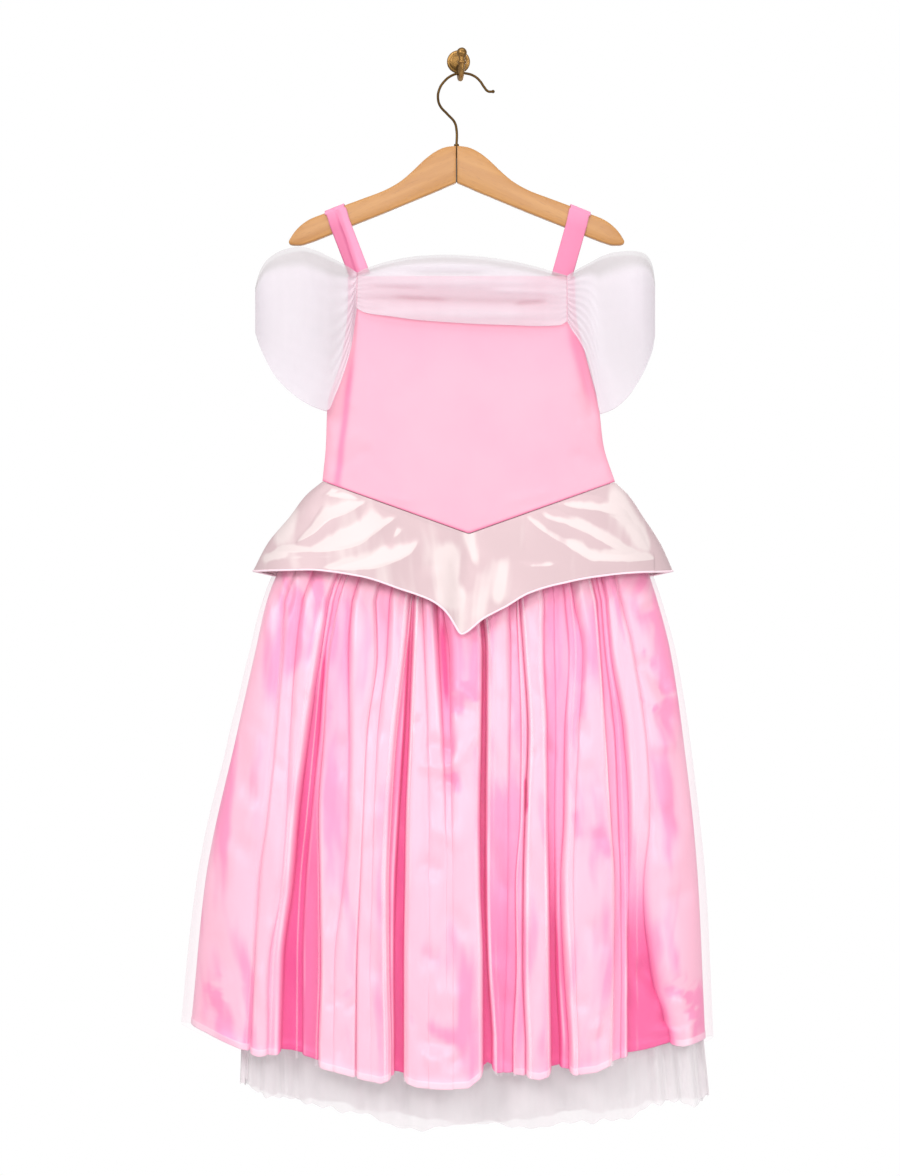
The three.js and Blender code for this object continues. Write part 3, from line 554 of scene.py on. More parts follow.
def wood_finish(name, side):
    """Grain that runs down along an arm: side is -1 for the left arm and 1 for the right."""
    finish, tree, shader = new_finish(name)
    place = add(tree, "TexCoord").outputs["Object"]
    turned = add(tree, "Mapping", {"Vector": place, "Rotation": (0, side * ARM_SLOPE, 0)}).outputs["Vector"]
    long_grain = add(tree, "Mapping", {"Vector": turned, "Scale": (9, 130, 130)}).outputs["Vector"]
    streak = add(tree, "TexNoise", {"Vector": long_grain, "Scale": 1, "Detail": 4, "Distortion": 0.6})
    fleck_place = add(tree, "Mapping", {"Vector": turned, "Scale": (120, 1500, 1500)}).outputs["Vector"]
    fleck = add(tree, "TexNoise", {"Vector": fleck_place, "Scale": 1, "Detail": 1})
    streaked = blend_colours(tree, stepped(tree, streak.outputs["Fac"], 0.3, 0.72), BEECH, BEECH_STREAK)
    flecks = stepped(tree, fleck.outputs["Fac"], 0.62, 0.72, 0.0, 0.35)
    colour = blend_colours(tree, flecks, streaked, BEECH_FLECK)
    across = add(tree, "SeparateXYZ", {"Vector": place}).outputs["X"]
    from_joint = add(tree, "Math", {0: across, 1: -HANGER_X * MM}, operation="ADD").outputs[0]
    aside = add(tree, "Math", {0: from_joint}, operation="ABSOLUTE").outputs[0]
    joined = blend_colours(tree, stepped(tree, aside, 0.4 * MM, 1.1 * MM), GLUE, colour)
    tree.links.new(joined, shader.inputs["Base Color"])
    shader.inputs["Roughness"].default_value = 0.42
    shader.inputs["Coat Weight"].default_value = 0.35
    shader.inputs["Coat Roughness"].default_value = 0.22
    tree.links.new(raised(tree, streak.outputs["Fac"], 0.15, 0.2), shader.inputs["Normal"])
    return finish


def brass_finish(name, bright, dull, smooth, rough):
    """bright and dull are its colours where it is rubbed and where it isn't."""
    finish, tree, shader = new_finish(name)
    place = add(tree, "TexCoord").outputs["Object"]
    smudge = add(tree, "TexNoise", {"Vector": place, "Scale": 30, "Detail": 0})
    colour = blend_colours(tree, stepped(tree, smudge.outputs["Fac"], 0.35, 0.7), (*bright, 1), (*dull, 1))
    tree.links.new(colour, shader.inputs["Base Color"])
    tree.links.new(stepped(tree, smudge.outputs["Fac"], 0.3, 0.7, smooth, rough), shader.inputs["Roughness"])
    shader.inputs["Metallic"].default_value = 1
    return finish


beech_left = wood_finish("beech_left", -1)
beech_right = wood_finish("beech_right", 1)
old_brass = brass_finish("old_brass", (0.36, 0.20, 0.066), (0.12, 0.065, 0.018), 0.3, 0.4)
wire_brass = brass_finish("wire_brass", (0.125, 0.068, 0.021), (0.07, 0.038, 0.011), 0.4, 0.48)


def dress_piece(piece, finish, slot, *nodes):
    """Gives a piece its finish, and hides the solids it stands for."""
    piece.data.materials.clear()
    piece.data.materials.append(finish)
    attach(piece, "root")
    if nodes:
        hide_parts(*nodes)
    print(piece.name, "has", len(piece.data.polygons), "faces in", finish.name)
    return piece


# %% [markdown]
# ## The wall hook
#
# A turned brass plate lies on the wall. An arm leaves it, dips to hold the hanger's wire, and
# rises to a collar and a ball. The plate and the ball are turned shapes, so they start as a
# cylinder and a sphere. The arm is a bevelled curve, because its path is one smooth bend.

# %% Wall hook
PLATE_RADIUS, PLATE_THICK = 11.8, 1.4
PLATE_STEPS = ((1.0, 0.7), (1.6, 0.0), (0.5, -0.35), (0.6, 0.55), (3.0, 0.5))
PRONG_TURN = 0.1
PRONG_FRONT = -33
PRONG_RADIUS, COLLAR_RADIUS, BALL_RADIUS = 2.9, 4.5, 5.2
PRONG_PATH = [
    (0, -3.0, -6), (0, -6, -6.2), (0, -9.5, -9), (0, -12, -15.5), (0, -17, -19.6), (0, -24, -19),
    (0, -30, -14.5), (0, -32.5, -7), (0, PRONG_FRONT, 0),
]


def rod_along(name, path, radius, closed_ends=True, sides=6, steps=10):
    """A round rod along a smooth path in mm, as a mesh."""
    deselect_all()
    line = bpy.data.curves.new(name, "CURVE")
    line.dimensions = "3D"
    line.bevel_depth = radius * MM
    line.bevel_resolution = sides
    line.resolution_u = steps
    line.use_fill_caps = closed_ends
    spline = line.splines.new("BEZIER")
    spline.bezier_points.add(len(path) - 1)
    for knot, place in zip(spline.bezier_points, path):
        knot.co = Vector(place) * MM
        knot.handle_left_type = knot.handle_right_type = "AUTO"
    rod = bpy.data.objects.new(name, line)
    bpy.context.collection.objects.link(rod)
    rod.select_set(True)
    bpy.context.view_layer.objects.active = rod
    bpy.ops.object.convert(target="MESH")
    rod = bpy.context.object
    bpy.ops.object.mode_set(mode="EDIT")
    bpy.ops.mesh.select_all(action="SELECT")
    bpy.ops.mesh.remove_doubles(threshold=1e-6)
    bpy.ops.mesh.normals_make_consistent(inside=False)
    bpy.ops.object.mode_set(mode="OBJECT")
    bpy.ops.object.shade_smooth_by_angle(angle=math.radians(50))
    return rod


def join_pieces(name, *parts):
    """One object from several meshes that belong to one casting."""
    deselect_all()
    for part in parts:
        part.select_set(True)
    bpy.context.view_layer.objects.active = parts[0]
    bpy.ops.object.join()
    whole = bpy.context.object
    whole.name = name
    bpy.ops.object.transform_apply(location=True, rotation=True, scale=True)
    return whole


def select_faces(piece, wanted):
    """Selects the faces whose centre and normal pass a test, and stays in edit mode."""
    mesh = piece.data
    bpy.ops.object.mode_set(mode="OBJECT")
    for element in (*mesh.vertices, *mesh.edges, *mesh.polygons):
        element.select = False
    for face in mesh.polygons:
        face.select = wanted(face.center, face.normal)
    bpy.ops.object.mode_set(mode="EDIT")
    bpy.ops.mesh.select_mode(type="FACE")


def turned_plate():
    """The wall plate: a disc with a stepped and domed face."""
    deselect_all()
    bpy.ops.mesh.primitive_cylinder_add(
        vertices=48,
        radius=PLATE_RADIUS * MM,
        depth=PLATE_THICK * MM,
        location=(0, -PLATE_THICK / 2 * MM, 0),
        rotation=(math.pi / 2, 0, 0),
    )
    plate = bpy.context.object
    bpy.ops.object.transform_apply(location=True, rotation=True, scale=True)
    select_faces(plate, lambda centre, normal: normal.y < -0.9)
    for inset, rise in PLATE_STEPS:
        bpy.ops.mesh.inset(thickness=inset * MM)
        if rise:
            bpy.ops.transform.translate(value=(0, -rise * MM, 0))
    bpy.ops.object.mode_set(mode="OBJECT")
    edge = plate.modifiers.new("soft_edges", "BEVEL")
    edge.width = 0.25 * MM
    edge.segments = 2
    edge.limit_method = "ANGLE"
    bpy.ops.object.modifier_apply(modifier="soft_edges")
    bpy.ops.object.shade_smooth_by_angle(angle=math.radians(35))
    plate.name = "hook_plate"
    return plate


def hook_arm():
    """The hook's arm, with its collar and ball, turned a little to the right."""
    prong = rod_along("hook_prong", PRONG_PATH, PRONG_RADIUS, sides=8)
    deselect_all()
    collar_place = (0, PRONG_FRONT * MM, -5.5 * MM)
    bpy.ops.mesh.primitive_cylinder_add(
        vertices=32, radius=COLLAR_RADIUS * MM, depth=3 * MM, location=collar_place
    )
    collar = bpy.context.object
    rounding = collar.modifiers.new("rounding", "BEVEL")
    rounding.width = 1.2 * MM
    rounding.segments = 4
    rounding.limit_method = "ANGLE"
    bpy.ops.object.modifier_apply(modifier="rounding")
    bpy.ops.object.shade_smooth_by_angle(angle=math.radians(50))
    deselect_all()
    ball_place = (0, PRONG_FRONT * MM, 4 * MM)
    bpy.ops.mesh.primitive_uv_sphere_add(
        segments=32, ring_count=16, radius=BALL_RADIUS * MM, location=ball_place
    )
    ball = bpy.context.object
    bpy.ops.object.shade_smooth()
    arm = join_pieces("hook_arm", prong, collar, ball)
    arm.rotation_euler.z = PRONG_TURN
    bpy.ops.object.transform_apply(location=True, rotation=True, scale=True)
    return arm


dress_piece(turned_plate(), old_brass, "brass", "wall_plate")
dress_piece(hook_arm(), old_brass, "brass", "wall_arm")

# %% [markdown]
# ## The hanger
#
# Two arms are sawn from one thick board and meet at the middle. An outline could be drawn and
# extruded into a board. Here each arm starts as a cube, cut into a strip of segments whose
# upper and lower edges are then set to the arm's outline, because a bevel runs evenly along
# such a strip and rounds its long edges. The wire is a bent rod.

# %% Hanger
HANGER_Y, HANGER_THICK = -17, 12
ARM_OUTLINE = table(
    "out upper lower",
    (0.04, -88.4, -125.5),
    (10, -89.4, -129.6),
    (20, -93.4, -134.0),
    (32, -102.0, -139.0),
    (44, -113.5, -144.0),
    (57, -124.5, -149.4),
    (73, -133.5, -156.0),
    (92, -140.8, -163.5),
    (112, -148.2, -171.5),
    (135, -157.3, -181.0),
    (149, -163.0, -186.3),
    (159, -170.2, -188.9),
    (165.5, -177.6, -188.8),
    (169.8, -184.8, -187.6),
)
ARM_SEGMENTS = 44


def hanger_arm(name, side):
    """One arm: side is -1 for the left one and 1 for the right."""
    deselect_all()
    bpy.ops.mesh.primitive_cube_add(size=2)
    arm = bpy.context.object
    arm.name = name
    for cut in range(1, ARM_SEGMENTS):
        bpy.ops.object.mode_set(mode="EDIT")
        bpy.ops.mesh.select_all(action="SELECT")
        bpy.ops.mesh.bisect(plane_co=(-1 + 2 * cut / ARM_SEGMENTS, 0, 0), plane_no=(1, 0, 0))
        bpy.ops.object.mode_set(mode="OBJECT")
    first, last = ARM_OUTLINE["out"][0], ARM_OUTLINE["out"][-1]
    for point in arm.data.vertices:
        share = (point.co.x + 1) / 2
        out = first + (last - first) * (1 - (1 - share) ** 1.25)
        edge = "upper" if point.co.z > 0 else "lower"
        height = smooth_curve(ARM_OUTLINE["out"], ARM_OUTLINE[edge], np.array([out]))[0]
        point.co = (
            (HANGER_X + side * out) * MM,
            (HANGER_Y + point.co.y * HANGER_THICK / 2) * MM,
            float(height) * MM,
        )
    bpy.ops.object.mode_set(mode="EDIT")
    bpy.ops.mesh.select_all(action="SELECT")
    bpy.ops.mesh.normals_make_consistent(inside=False)
    bpy.ops.object.mode_set(mode="OBJECT")
    rounding = arm.modifiers.new("rounding", "BEVEL")
    rounding.width = 2.4 * MM
    rounding.segments = 4
    rounding.limit_method = "ANGLE"
    rounding.angle_limit = math.radians(50)
    bpy.ops.object.modifier_apply(modifier="rounding")
    bpy.ops.object.shade_smooth_by_angle(angle=math.radians(40))
    return arm


dress_piece(hanger_arm("hanger_left", -1), beech_left, "wood", "hanger_arm_left")
dress_piece(hanger_arm("hanger_right", 1), beech_right, "wood", "hanger_arm_right")

WIRE = [
    (-2, -100), (-2, -88), (-2, -72), (-4, -64), (-11, -56), (-18.6, -47.4), (-20.8, -40),
    (-19.6, -31), (-14.5, -22.6), (-6.5, -16.4), (1, -14.4), (8.5, -14.6), (16, -17.2),
    (21.8, -22.2), (26, -28.4), (30, -32.6), (35, -32.8),
]


def bent_wire():
    """The hanger's hook, with a rounded tip and a small ferrule where it enters the wood."""
    wire = rod_along("hanger_hook", [(x, HANGER_Y, z) for x, z in WIRE], 1.3, sides=5, steps=8)
    deselect_all()
    tip_x, tip_z = WIRE[-1]
    tip_place = (tip_x * MM, HANGER_Y * MM, tip_z * MM)
    bpy.ops.mesh.primitive_uv_sphere_add(segments=20, ring_count=12, radius=1.75 * MM, location=tip_place)
    tip = bpy.context.object
    bpy.ops.object.shade_smooth()
    deselect_all()
    ferrule_place = (HANGER_X * MM, HANGER_Y * MM, -87.2 * MM)
    bpy.ops.mesh.primitive_cylinder_add(vertices=28, radius=2.6 * MM, depth=2.2 * MM, location=ferrule_place)
    ferrule = bpy.context.object
    softening = ferrule.modifiers.new("softening", "BEVEL")
    softening.width = 0.6 * MM
    softening.segments = 3
    bpy.ops.object.modifier_apply(modifier="softening")
    bpy.ops.object.shade_smooth_by_angle(angle=math.radians(50))
    return join_pieces("hanger_hook", wire, tip, ferrule)


dress_piece(bent_wire(), wire_brass, "brass", "hanger_wire")

# %% [markdown]
# ## The skirt's form
#
# The satin is gathered into the pointed waist and falls to a hem that dips at the middle.
# SKIRT gives its plain form, with the broad flat panels between the folds as its face. A row
# is one height. It says where the left side, the right side and the middle lie, how pointed
# the row is, how deep the side seam, the front and the back lie, how far the net stands off,
# and how much narrower the satin is at each side.

# %% Skirt form
WAIST_DOWN, HEM_DOWN = 429, 972
PEARL_THICK, NET_THICK, SATIN_THICK = 1.4, 1.0, 1.2
LAYER_GAP = 0.4
NET_TUCK = PEARL_THICK + LAYER_GAP
SATIN_TUCK = NET_TUCK + NET_THICK + LAYER_GAP
PETTICOAT_TUCK = SATIN_TUCK + SATIN_THICK + 2.5 * LAYER_GAP

SKIRT = table(
    "down left left_z right right_z centre_z vee seam front back net flare",
    (WAIST_DOWN, -138, -429, 158.5, -429.5, -482.4, 1.0, -22, -43, -6, 1.4, 0),
    (478, -163, -478, 177, -478, -520, 1.2, -27, -54, -9.5, 2.4, 1),
    (545, -194, -545, 201, -545, -578, 1.4, -33, -72, -9.5, 2.6, 1.5),
    (600, -208, -600, 216, -600, -634, 1.5, -36, -80, -9.5, 2.8, 2.5),
    (680, -227, -680, 228.5, -680, -712, 1.6, -40, -90, -9.5, 3.0, 3.5),
    (830, -260, -830, 245, -833, -868, 1.7, -47, -105, -9.5, 3.2, 4.5),
    (HEM_DOWN, -275, -972, 252, -986, -1027, 1.8, -53, -116, -9.5, 3.5, 6),
)
hem_wide = SKIRT["right"][-1] - SKIRT["left"][-1]
print("the skirt is", hem_wide, "mm wide at its hem, and the satin is tucked in", round(SATIN_TUCK, 1), "mm")

# %% [markdown]
# ## The folds, one by one
#
# Gathered satin doesn't fold evenly. It lies in broad panels, with narrow slots between them
# where the cloth is drawn far back. A cloth simulation would fold it too, but not where the
# picture has its folds. So each fold edge has a row of its own here. A row gives
# how soft the edge is, how much lower the hem of the panel on its right hangs, how far the
# edge sinks below its neighbours near the waist, halfway and at the hem, where it runs at
# seven heights, and how far back the panel on its right lies at those heights. The back of the
# gown isn't seen in the picture. It has the same sort of folds, mirrored and shallower.

# %% Fold edges
FOLD_HEIGHTS = np.array([545.0, 600, 680, 760, 830, 910, 990])
NICK_HEIGHTS = np.array([545.0, 760, 990])
FOLD_EDGES = (
    ("side_left", 2, 0, (0, 0, 0), (0, 0, 0, 0, 0, 0, 0), (0, 0, 0, 0, 0, 0, 0)),
    ("a", 1.3, 3, (5, 4, 9), (-177, -179.5, -186, -193.5, -203, -207.5, -212.5), (0, 0, 0, 0, 0, 0, 0)),
    ("b", 3, -1, (5, 2, 1), (-158, -165.5, -171, -174.5, -179, -192.5, -194.5), (0, 0, 0, 1, 3, 5, 6)),
    ("slot1_left", 1, -5, (1, 2, 1), (-132, -141, -153.5, -163.5, -169.5, -179, -181.5),
     (8, 12, 18, 21, 23, 23, 23)),
    ("slot1_pleat", 1, -5, (1, 1, 1), (-127, -136, -143.5, -151, -157.5, -160, -160),
     (7, 9, 12, 15, 16, 16, 16)),
    ("slot1_right", 1, -3, (1, 1, 1), (-121, -132, -138, -143, -141.5, -140.5, -143), (5, 5, 5, 4, 2, 1, 0)),
    ("d", 2.5, -2, (4, 2, 1), (-107.5, -111.5, -111, -111.5, -117, -125.5, -126.5), (1, 0, 0, 0, 0, 0, 0)),
    ("e", 1, 0, (3, 2, 7), (-84.5, -83, -93, -96.5, -99.5, -103, -104), (7, 5, 1, 0, 0, 0, 0)),
    ("f", 2.5, 1, (3, 1.4, 0.5), (-69.5, -72.5, -82, -85.5, -87.5, -89.5, -89), (1, 0, 0, 0, 0, 0, 0)),
    ("slot2_left", 1, -4, (1, 1, 1), (-48.5, -54, -63, -68.5, -71, -70.5, -68.5),
     (8, 10, 12, 12, 13, 13, 12)),
    ("slot2_line", 1, -4, (1, 2, 1), (-47, -50.5, -55, -60.5, -64, -65.5, -65.5),
     (10, 15, 20, 22, 24, 24, 24)),
    ("slot2_right", 1, 1, (1, 1, 1), (-45, -47.5, -51, -54.5, -55.5, -56.5, -56.5), (1, 0, 0, 0, 0, 0, 0)),
    ("g", 2.5, 2, (5, 1.6, 0), (-36.5, -34.5, -31.5, -30.5, -30.5, -30.5, -30.5), (0, 0, 0, 0, 0, 0, 0)),
    ("h_left", 1.5, 2, (2, 0.4, 0), (-22.5, -20.5, -16.5, -13.5, -12.5, -12.5, -12.5),
     (11, 12, 9, 3, 0, 0, 0)),
    ("h_right", 2, 1, (1, 0.2, 0), (-17.5, -9.5, -8.5, -7.5, -6.5, -6.5, -6.5), (1, 0, 0, 0, 0, 0, 0)),
    ("slot3_left", 0.6, -13, (1, 1, 1), (19, 24, 23, 21.5, 22, 24.5, 24.5), (10, 22, 26, 27, 28, 28, 28)),
    ("slot3_right", 0.7, -7, (1, 1, 1), (22, 27, 26.8, 25.8, 25.6, 27.6, 32.5), (0, 0, 0, 5, 10, 13, 13)),
    ("j", 2, -7, (3, 2, 1), (50, 52, 51, 49.5, 48.5, 47.5, 44.5), (5, 5, 3, 6, 9, 12, 12)),
    ("k_left", 1, -6, (3, 2, 2), (57.5, 60, 62.5, 61.5, 56.5, 57.5, 54), (3, 4, 5, 7, 6, 6, 6)),
    ("k_right", 1, -1, (5, 8, 5), (60.5, 65, 69.5, 66.5, 64.5, 64, 67), (0, 0, 0, 0, 0, 0, 0)),
    ("slot4_left", 1, -4, (1, 1, 1), (86, 85.5, 89, 89.5, 91, 92.5, 93.5), (7, 8, 10, 11, 15, 23, 24)),
    ("slot4_line", 1.5, -4, (1, 1, 1), (96, 96.5, 97.5, 96, 97, 97.5, 101.5), (6, 6, 9, 9, 9, 14, 13)),
    ("slot4_right", 1.5, 0, (2, 2, 1), (107, 111.5, 107, 106, 102.5, 105.5, 111), (9, 7, 3, 1, 0, 0, 0)),
    ("m", 2.5, 1, (2, 1, 0.5), (116, 125.5, 121, 117, 114.5, 116.5, 120), (0, 0, 0, 0, 0, 0, 0)),
    ("slot5_left", 1, -4, (3, 2, 1), (139, 143, 148.5, 153.5, 157.5, 157, 154.5), (4, 5, 8, 8, 8, 8, 8)),
    ("slot5_line", 1, -4, (2, 2, 2), (144, 148.5, 158.5, 162, 164, 164.5, 164), (6, 7, 11, 10, 9, 8, 8)),
    ("slot5_right", 1, -2, (1, 1, 1), (149.5, 154.5, 168.5, 173, 172.5, 172, 172), (0, 0, 0, 1, 7, 19, 18)),
    ("p", 1.8, 0, (6, 2, 1), (163.5, 177, 189.5, 194, 188, 196, 218), (0, 0, 0, 0, 0, 0, 0)),
    ("side_right", 2, 0, (0, 0, 0), (0, 0, 0, 0, 0, 0, 0), (0, 0, 0, 0, 0, 0, 0)),
)
BACK_DEPTH, BACK_NICK = 0.55, 0.8
SLOT_DEPTH = 18
print(len(FOLD_EDGES) - 1, "panels of satin in front")


def mirrored_edges():
    """The same edges for the back, from its other side."""
    turned = []
    for i, (name, soft, _, nick, x, _) in enumerate(reversed(FOLD_EDGES)):
        panel = FOLD_EDGES[len(FOLD_EDGES) - 2 - i] if i < len(FOLD_EDGES) - 1 else FOLD_EDGES[-1]
        level = tuple(BACK_DEPTH * value for value in panel[5])
        turned.append((name, soft, panel[2] * BACK_DEPTH, tuple(BACK_NICK * v for v in nick), x, level))
    return tuple(turned)


# %% [markdown]
# ## Turning fold edges into cloth
#
# Between two edges a panel runs almost flat. At each edge it rounds over a tight shoulder and
# drops to the edge's depth. The sheet's columns are spread evenly over the panels and crowd
# towards their edges, so that a narrow slot is as crisp as a broad panel is smooth.

# %% Folds to cloth
FOLD_HEM_LIFT = 0.35
SHOULDER_REACH, SHOULDER_GROWTH = 1.8, 0.14
LIP_WIDE = 1.3


def edge_runs(edges, row, mirror):
    """For each row of the sheet: where every edge lies across it, how deep, and its panel's level."""
    rows = len(row["down"])
    across = np.zeros((rows, len(edges)))
    across[:, 0], across[:, -1] = -1, 1
    level = np.zeros(across.shape)
    nick = np.zeros(across.shape)
    for i, (_, _, _, nicks, places, levels) in enumerate(edges):
        for r in range(rows - 1, -1, -1):
            middle, half = (row["left"][r] + row["right"][r]) / 2, (row["right"][r] - row["left"][r]) / 2
            place = across[min(r + 1, rows - 1), i]
            for _ in range(4):
                side = row["left_z"][r] if place < 0 else row["right_z"][r]
                height = -(row["centre_z"][r] + (side - row["centre_z"][r]) * abs(place) ** row["vee"][r])
                if 0 < i < len(edges) - 1 and height >= FOLD_HEIGHTS[0]:
                    x = float(smooth_curve(FOLD_HEIGHTS, np.array(places, float), np.array([height]))[0])
                    place = (x - middle) / half * (-1 if mirror else 1)
            across[r, i] = place
            level[r, i] = smooth_curve(FOLD_HEIGHTS, np.array(levels, float), np.array([height]))[0]
            nick[r, i] = smooth_curve(NICK_HEIGHTS, np.array(nicks, float), np.array([height]))[0]
    left_level = np.concatenate([np.zeros((rows, 1)), level[:, :-1]], axis=1)
    cut = np.maximum(level, left_level) + nick
    cut[:, 0] = cut[:, -1] = 0
    return across, cut, level


def fold_form(edges, row, per_panel, mirror=False):
    """For each row and column: the place across, how far the cloth lies behind the face, the
    panels' smoothed level, how much lower its hem hangs, and where a fold's edge turns, where a
    highlight is painted."""
    panels = len(edges) - 1
    step = 0.5 - 0.5 * np.cos(np.pi * np.arange(per_panel) / per_panel)
    panel = np.append(np.repeat(np.arange(panels), per_panel), panels - 1)
    share = np.append(np.tile(step, panels), 1.0)
    edge_across, cut, level = edge_runs(edges, row, mirror)
    turn = count_round(np.clip(edge_across, -1, 1))
    turn = np.maximum.accumulate(turn, axis=1)
    across = round_the_side(turn[:, panel] * (1 - share) + turn[:, panel + 1] * share)
    half = ((row["right"] - row["left"]) / 2).reshape(-1, 1)
    wide = half * (round_the_side(turn[:, panel + 1]) - round_the_side(turn[:, panel]))
    flat = level[:, panel]
    soft = np.array([edge[1] for edge in edges])

    def shoulder(distance, fall, softness):
        """How far the cloth has dropped at a distance from an edge, and how much of a lip it is,
        where a highlight is painted.
        """
        reach = np.minimum(wide * 0.5, softness * (SHOULDER_REACH + SHOULDER_GROWTH * fall)) + 1e-6
        near = np.clip(1 - distance / reach, 0, 1)
        lip = np.exp(-(((distance - reach) / LIP_WIDE) ** 2)) * np.clip((fall - 4) / 9, 0, 1)
        return fall * (1 - np.sqrt(np.clip(1 - near**2, 0, 1))), lip

    sink = flat + 0.03 * wide * (2 * share - 1) ** 2 * (cut[:, panel] + cut[:, panel + 1] > 0.5)
    drop_left = np.maximum(cut[:, panel] - flat, 0)
    drop_right = np.maximum(cut[:, panel + 1] - flat, 0)
    fall_left, lip_left = shoulder(share * wide, drop_left, soft[panel])
    fall_right, lip_right = shoulder((1 - share) * wide, drop_right, soft[panel + 1])
    sink = sink + fall_left + fall_right
    lip_shine = np.clip(lip_left + lip_right, 0, 1)
    drops = np.array([edge[2] for edge in edges[:-1]], float)
    centre = round_the_side((turn[:, :-1] + turn[:, 1:]) / 2)
    veil = np.array([np.interp(across[r], centre[r], level[r, :-1]) for r in range(len(across))])
    drop = np.array([np.interp(across[r], centre[r], drops) for r in range(len(across))])
    return across, sink, veil, drop, lip_shine


def lowered_hem(points, drop, sink, down):
    """Each panel's hem hangs by its own amount, and each slot's is drawn up."""
    fall = ease((down.reshape(-1, 1) - 780) / 190)
    points[..., 2] += fall * (FOLD_HEM_LIFT * sink - drop)
    return points


# %% [markdown]
# ## Creases in the satin
#
# Besides its folds, satin keeps short creases and soft dents from being packed. They could be
# sculpted with a brush. Here each is a stroke from one place to another, with its width and
# height, because a stroke is easy to move until it lies where the picture has it. The patches
# of the satin's shine are painted with strokes of the same kind, the darker ones above 0 and
# the paler ones below. So is the painted shade along each thin slit where two folds touch,
# which turns the colour deepest there. A seeded ripple adds the slow unevenness that makes
# satin's shine cloudy.

# %% Creases
BACK_SHIFT_X, BACK_SHIFT_Z, BACK_SHARE = -16, 14, 0.8


def for_the_back(strokes, wider=1.0):
    """The same strokes mirrored for the back, moved a little and fainter."""
    return [
        (
            -x0 + BACK_SHIFT_X,
            z0 + BACK_SHIFT_Z,
            -x1 + BACK_SHIFT_X,
            z1 + BACK_SHIFT_Z,
            wider * wide,
            BACK_SHARE * height,
        )
        for x0, z0, x1, z1, wide, height in strokes
    ]


FRONT_CREASES = [
    (-217, -675, -218, -722, 5, -1.6),
    (-204, -746, -210, -795, 8, 1.2),
    (-234, -795, -241, -848, 9, -1.5),
    (-249, -873, -229, -926, 9, -1.6),
    (-254, -941, -233, -970, 5, -1.8),
    (-241, -974, -219, -986, 5, 1.6),
    (-115, -675, -120, -732, 5, -2),
    (-126, -839, -129, -883, 4, -1.4),
    (-131, -937, -117, -934, 2.2, -1.8),
    (-133, -951, -115, -940, 2.4, -2),
    (-113, -955, -101, -942, 2.2, -2),
    (-112, -970, -119, -1006, 4, -1.6),
    (-86, -647, -78, -691, 8, -1.4),
    (-82, -746, -92, -795, 9, 1.2),
    (-89, -873, -81, -926, 9, -1.2),
    (-47, -675, -37, -663, 2.2, -1.8),
    (-41, -710, -17, -715, 5, 2.4),
    (-21, -715, 3, -707, 5, 2.6),
    (-2, -709, 23, -671, 5, 2.4),
    (-36, -688, -1, -698, 8, -2.4),
    (-24, -725, 1, -732, 7, -2.4),
    (-11, -640, 8, -634, 4, 2),
    (4, -634, 22, -656, 4, 2),
    (-7, -652, 11, -659, 6, -1.8),
    (-40, -806, -15, -818, 8, -2.2),
    (-34, -771, 11, -787, 10, 1.6),
    (-38, -897, -18, -902, 8, -2),
    (-13, -848, 11, -883, 9, -1.4),
    (-46, -978, 3, -986, 6, -2.2),
    (-36, -1000, -15, -998, 6, 2.6),
    (-13, -1006, 11, -990, 4, -2),
    (-28, -931, 7, -943, 10, 1.6),
    (70, -708, 78, -696, 2.4, -1.4),
    (75, -588, 81, -647, 6, -1.2),
    (73, -814, 83, -873, 7, -1.2),
    (142, -795, 137, -775, 6, -1.8),
    (124, -706, 140, -746, 10, -1.4),
    (129, -858, 143, -902, 9, -1.6),
    (131, -976, 141, -961, 4, 2.6),
    (139, -992, 145, -951, 6, -2),
    (113, -951, 129, -941, 7, -1.4),
    (173, -534, 192, -554, 9, 2.6),
    (176, -566, 205, -544, 5, -2),
    (178, -602, 215, -647, 8, -2.8),
    (192, -659, 219, -673, 6, -2.2),
    (189, -694, 229, -689, 8, 1.8),
    (203, -753, 236, -771, 9, -2),
    (191, -804, 228, -812, 10, 1.4),
    (206, -848, 242, -834, 9, -1.8),
    (178, -907, 213, -953, 9, -2.2),
    (208, -926, 237, -945, 6, -2),
    (212, -953, 229, -941, 5, 2.6),
    (227, -974, 245, -955, 5, 2.6),
    (202, -970, 227, -976, 4, -2),
    (190, -986, 241, -976, 3, 2),
    (38, -588, 41, -647, 7, 1.4),
    (35, -785, 47, -843, 7, -1.6),
    (37, -902, 50, -951, 8, 1.4),
    (-174, -568, -166, -533, 4, -1.8),
    (-196, -588, -188, -548, 5, 1.6),
    (-148, -588, -138, -548, 5, -2),
    (-151, -647, -146, -608, 6, 1.6),
    (-176, -824, -188, -873, 5, -1.4),
    (-200, -902, -189, -961, 6, 1.2),
]
BACK_CREASES = for_the_back(FRONT_CREASES, wider=1.1)
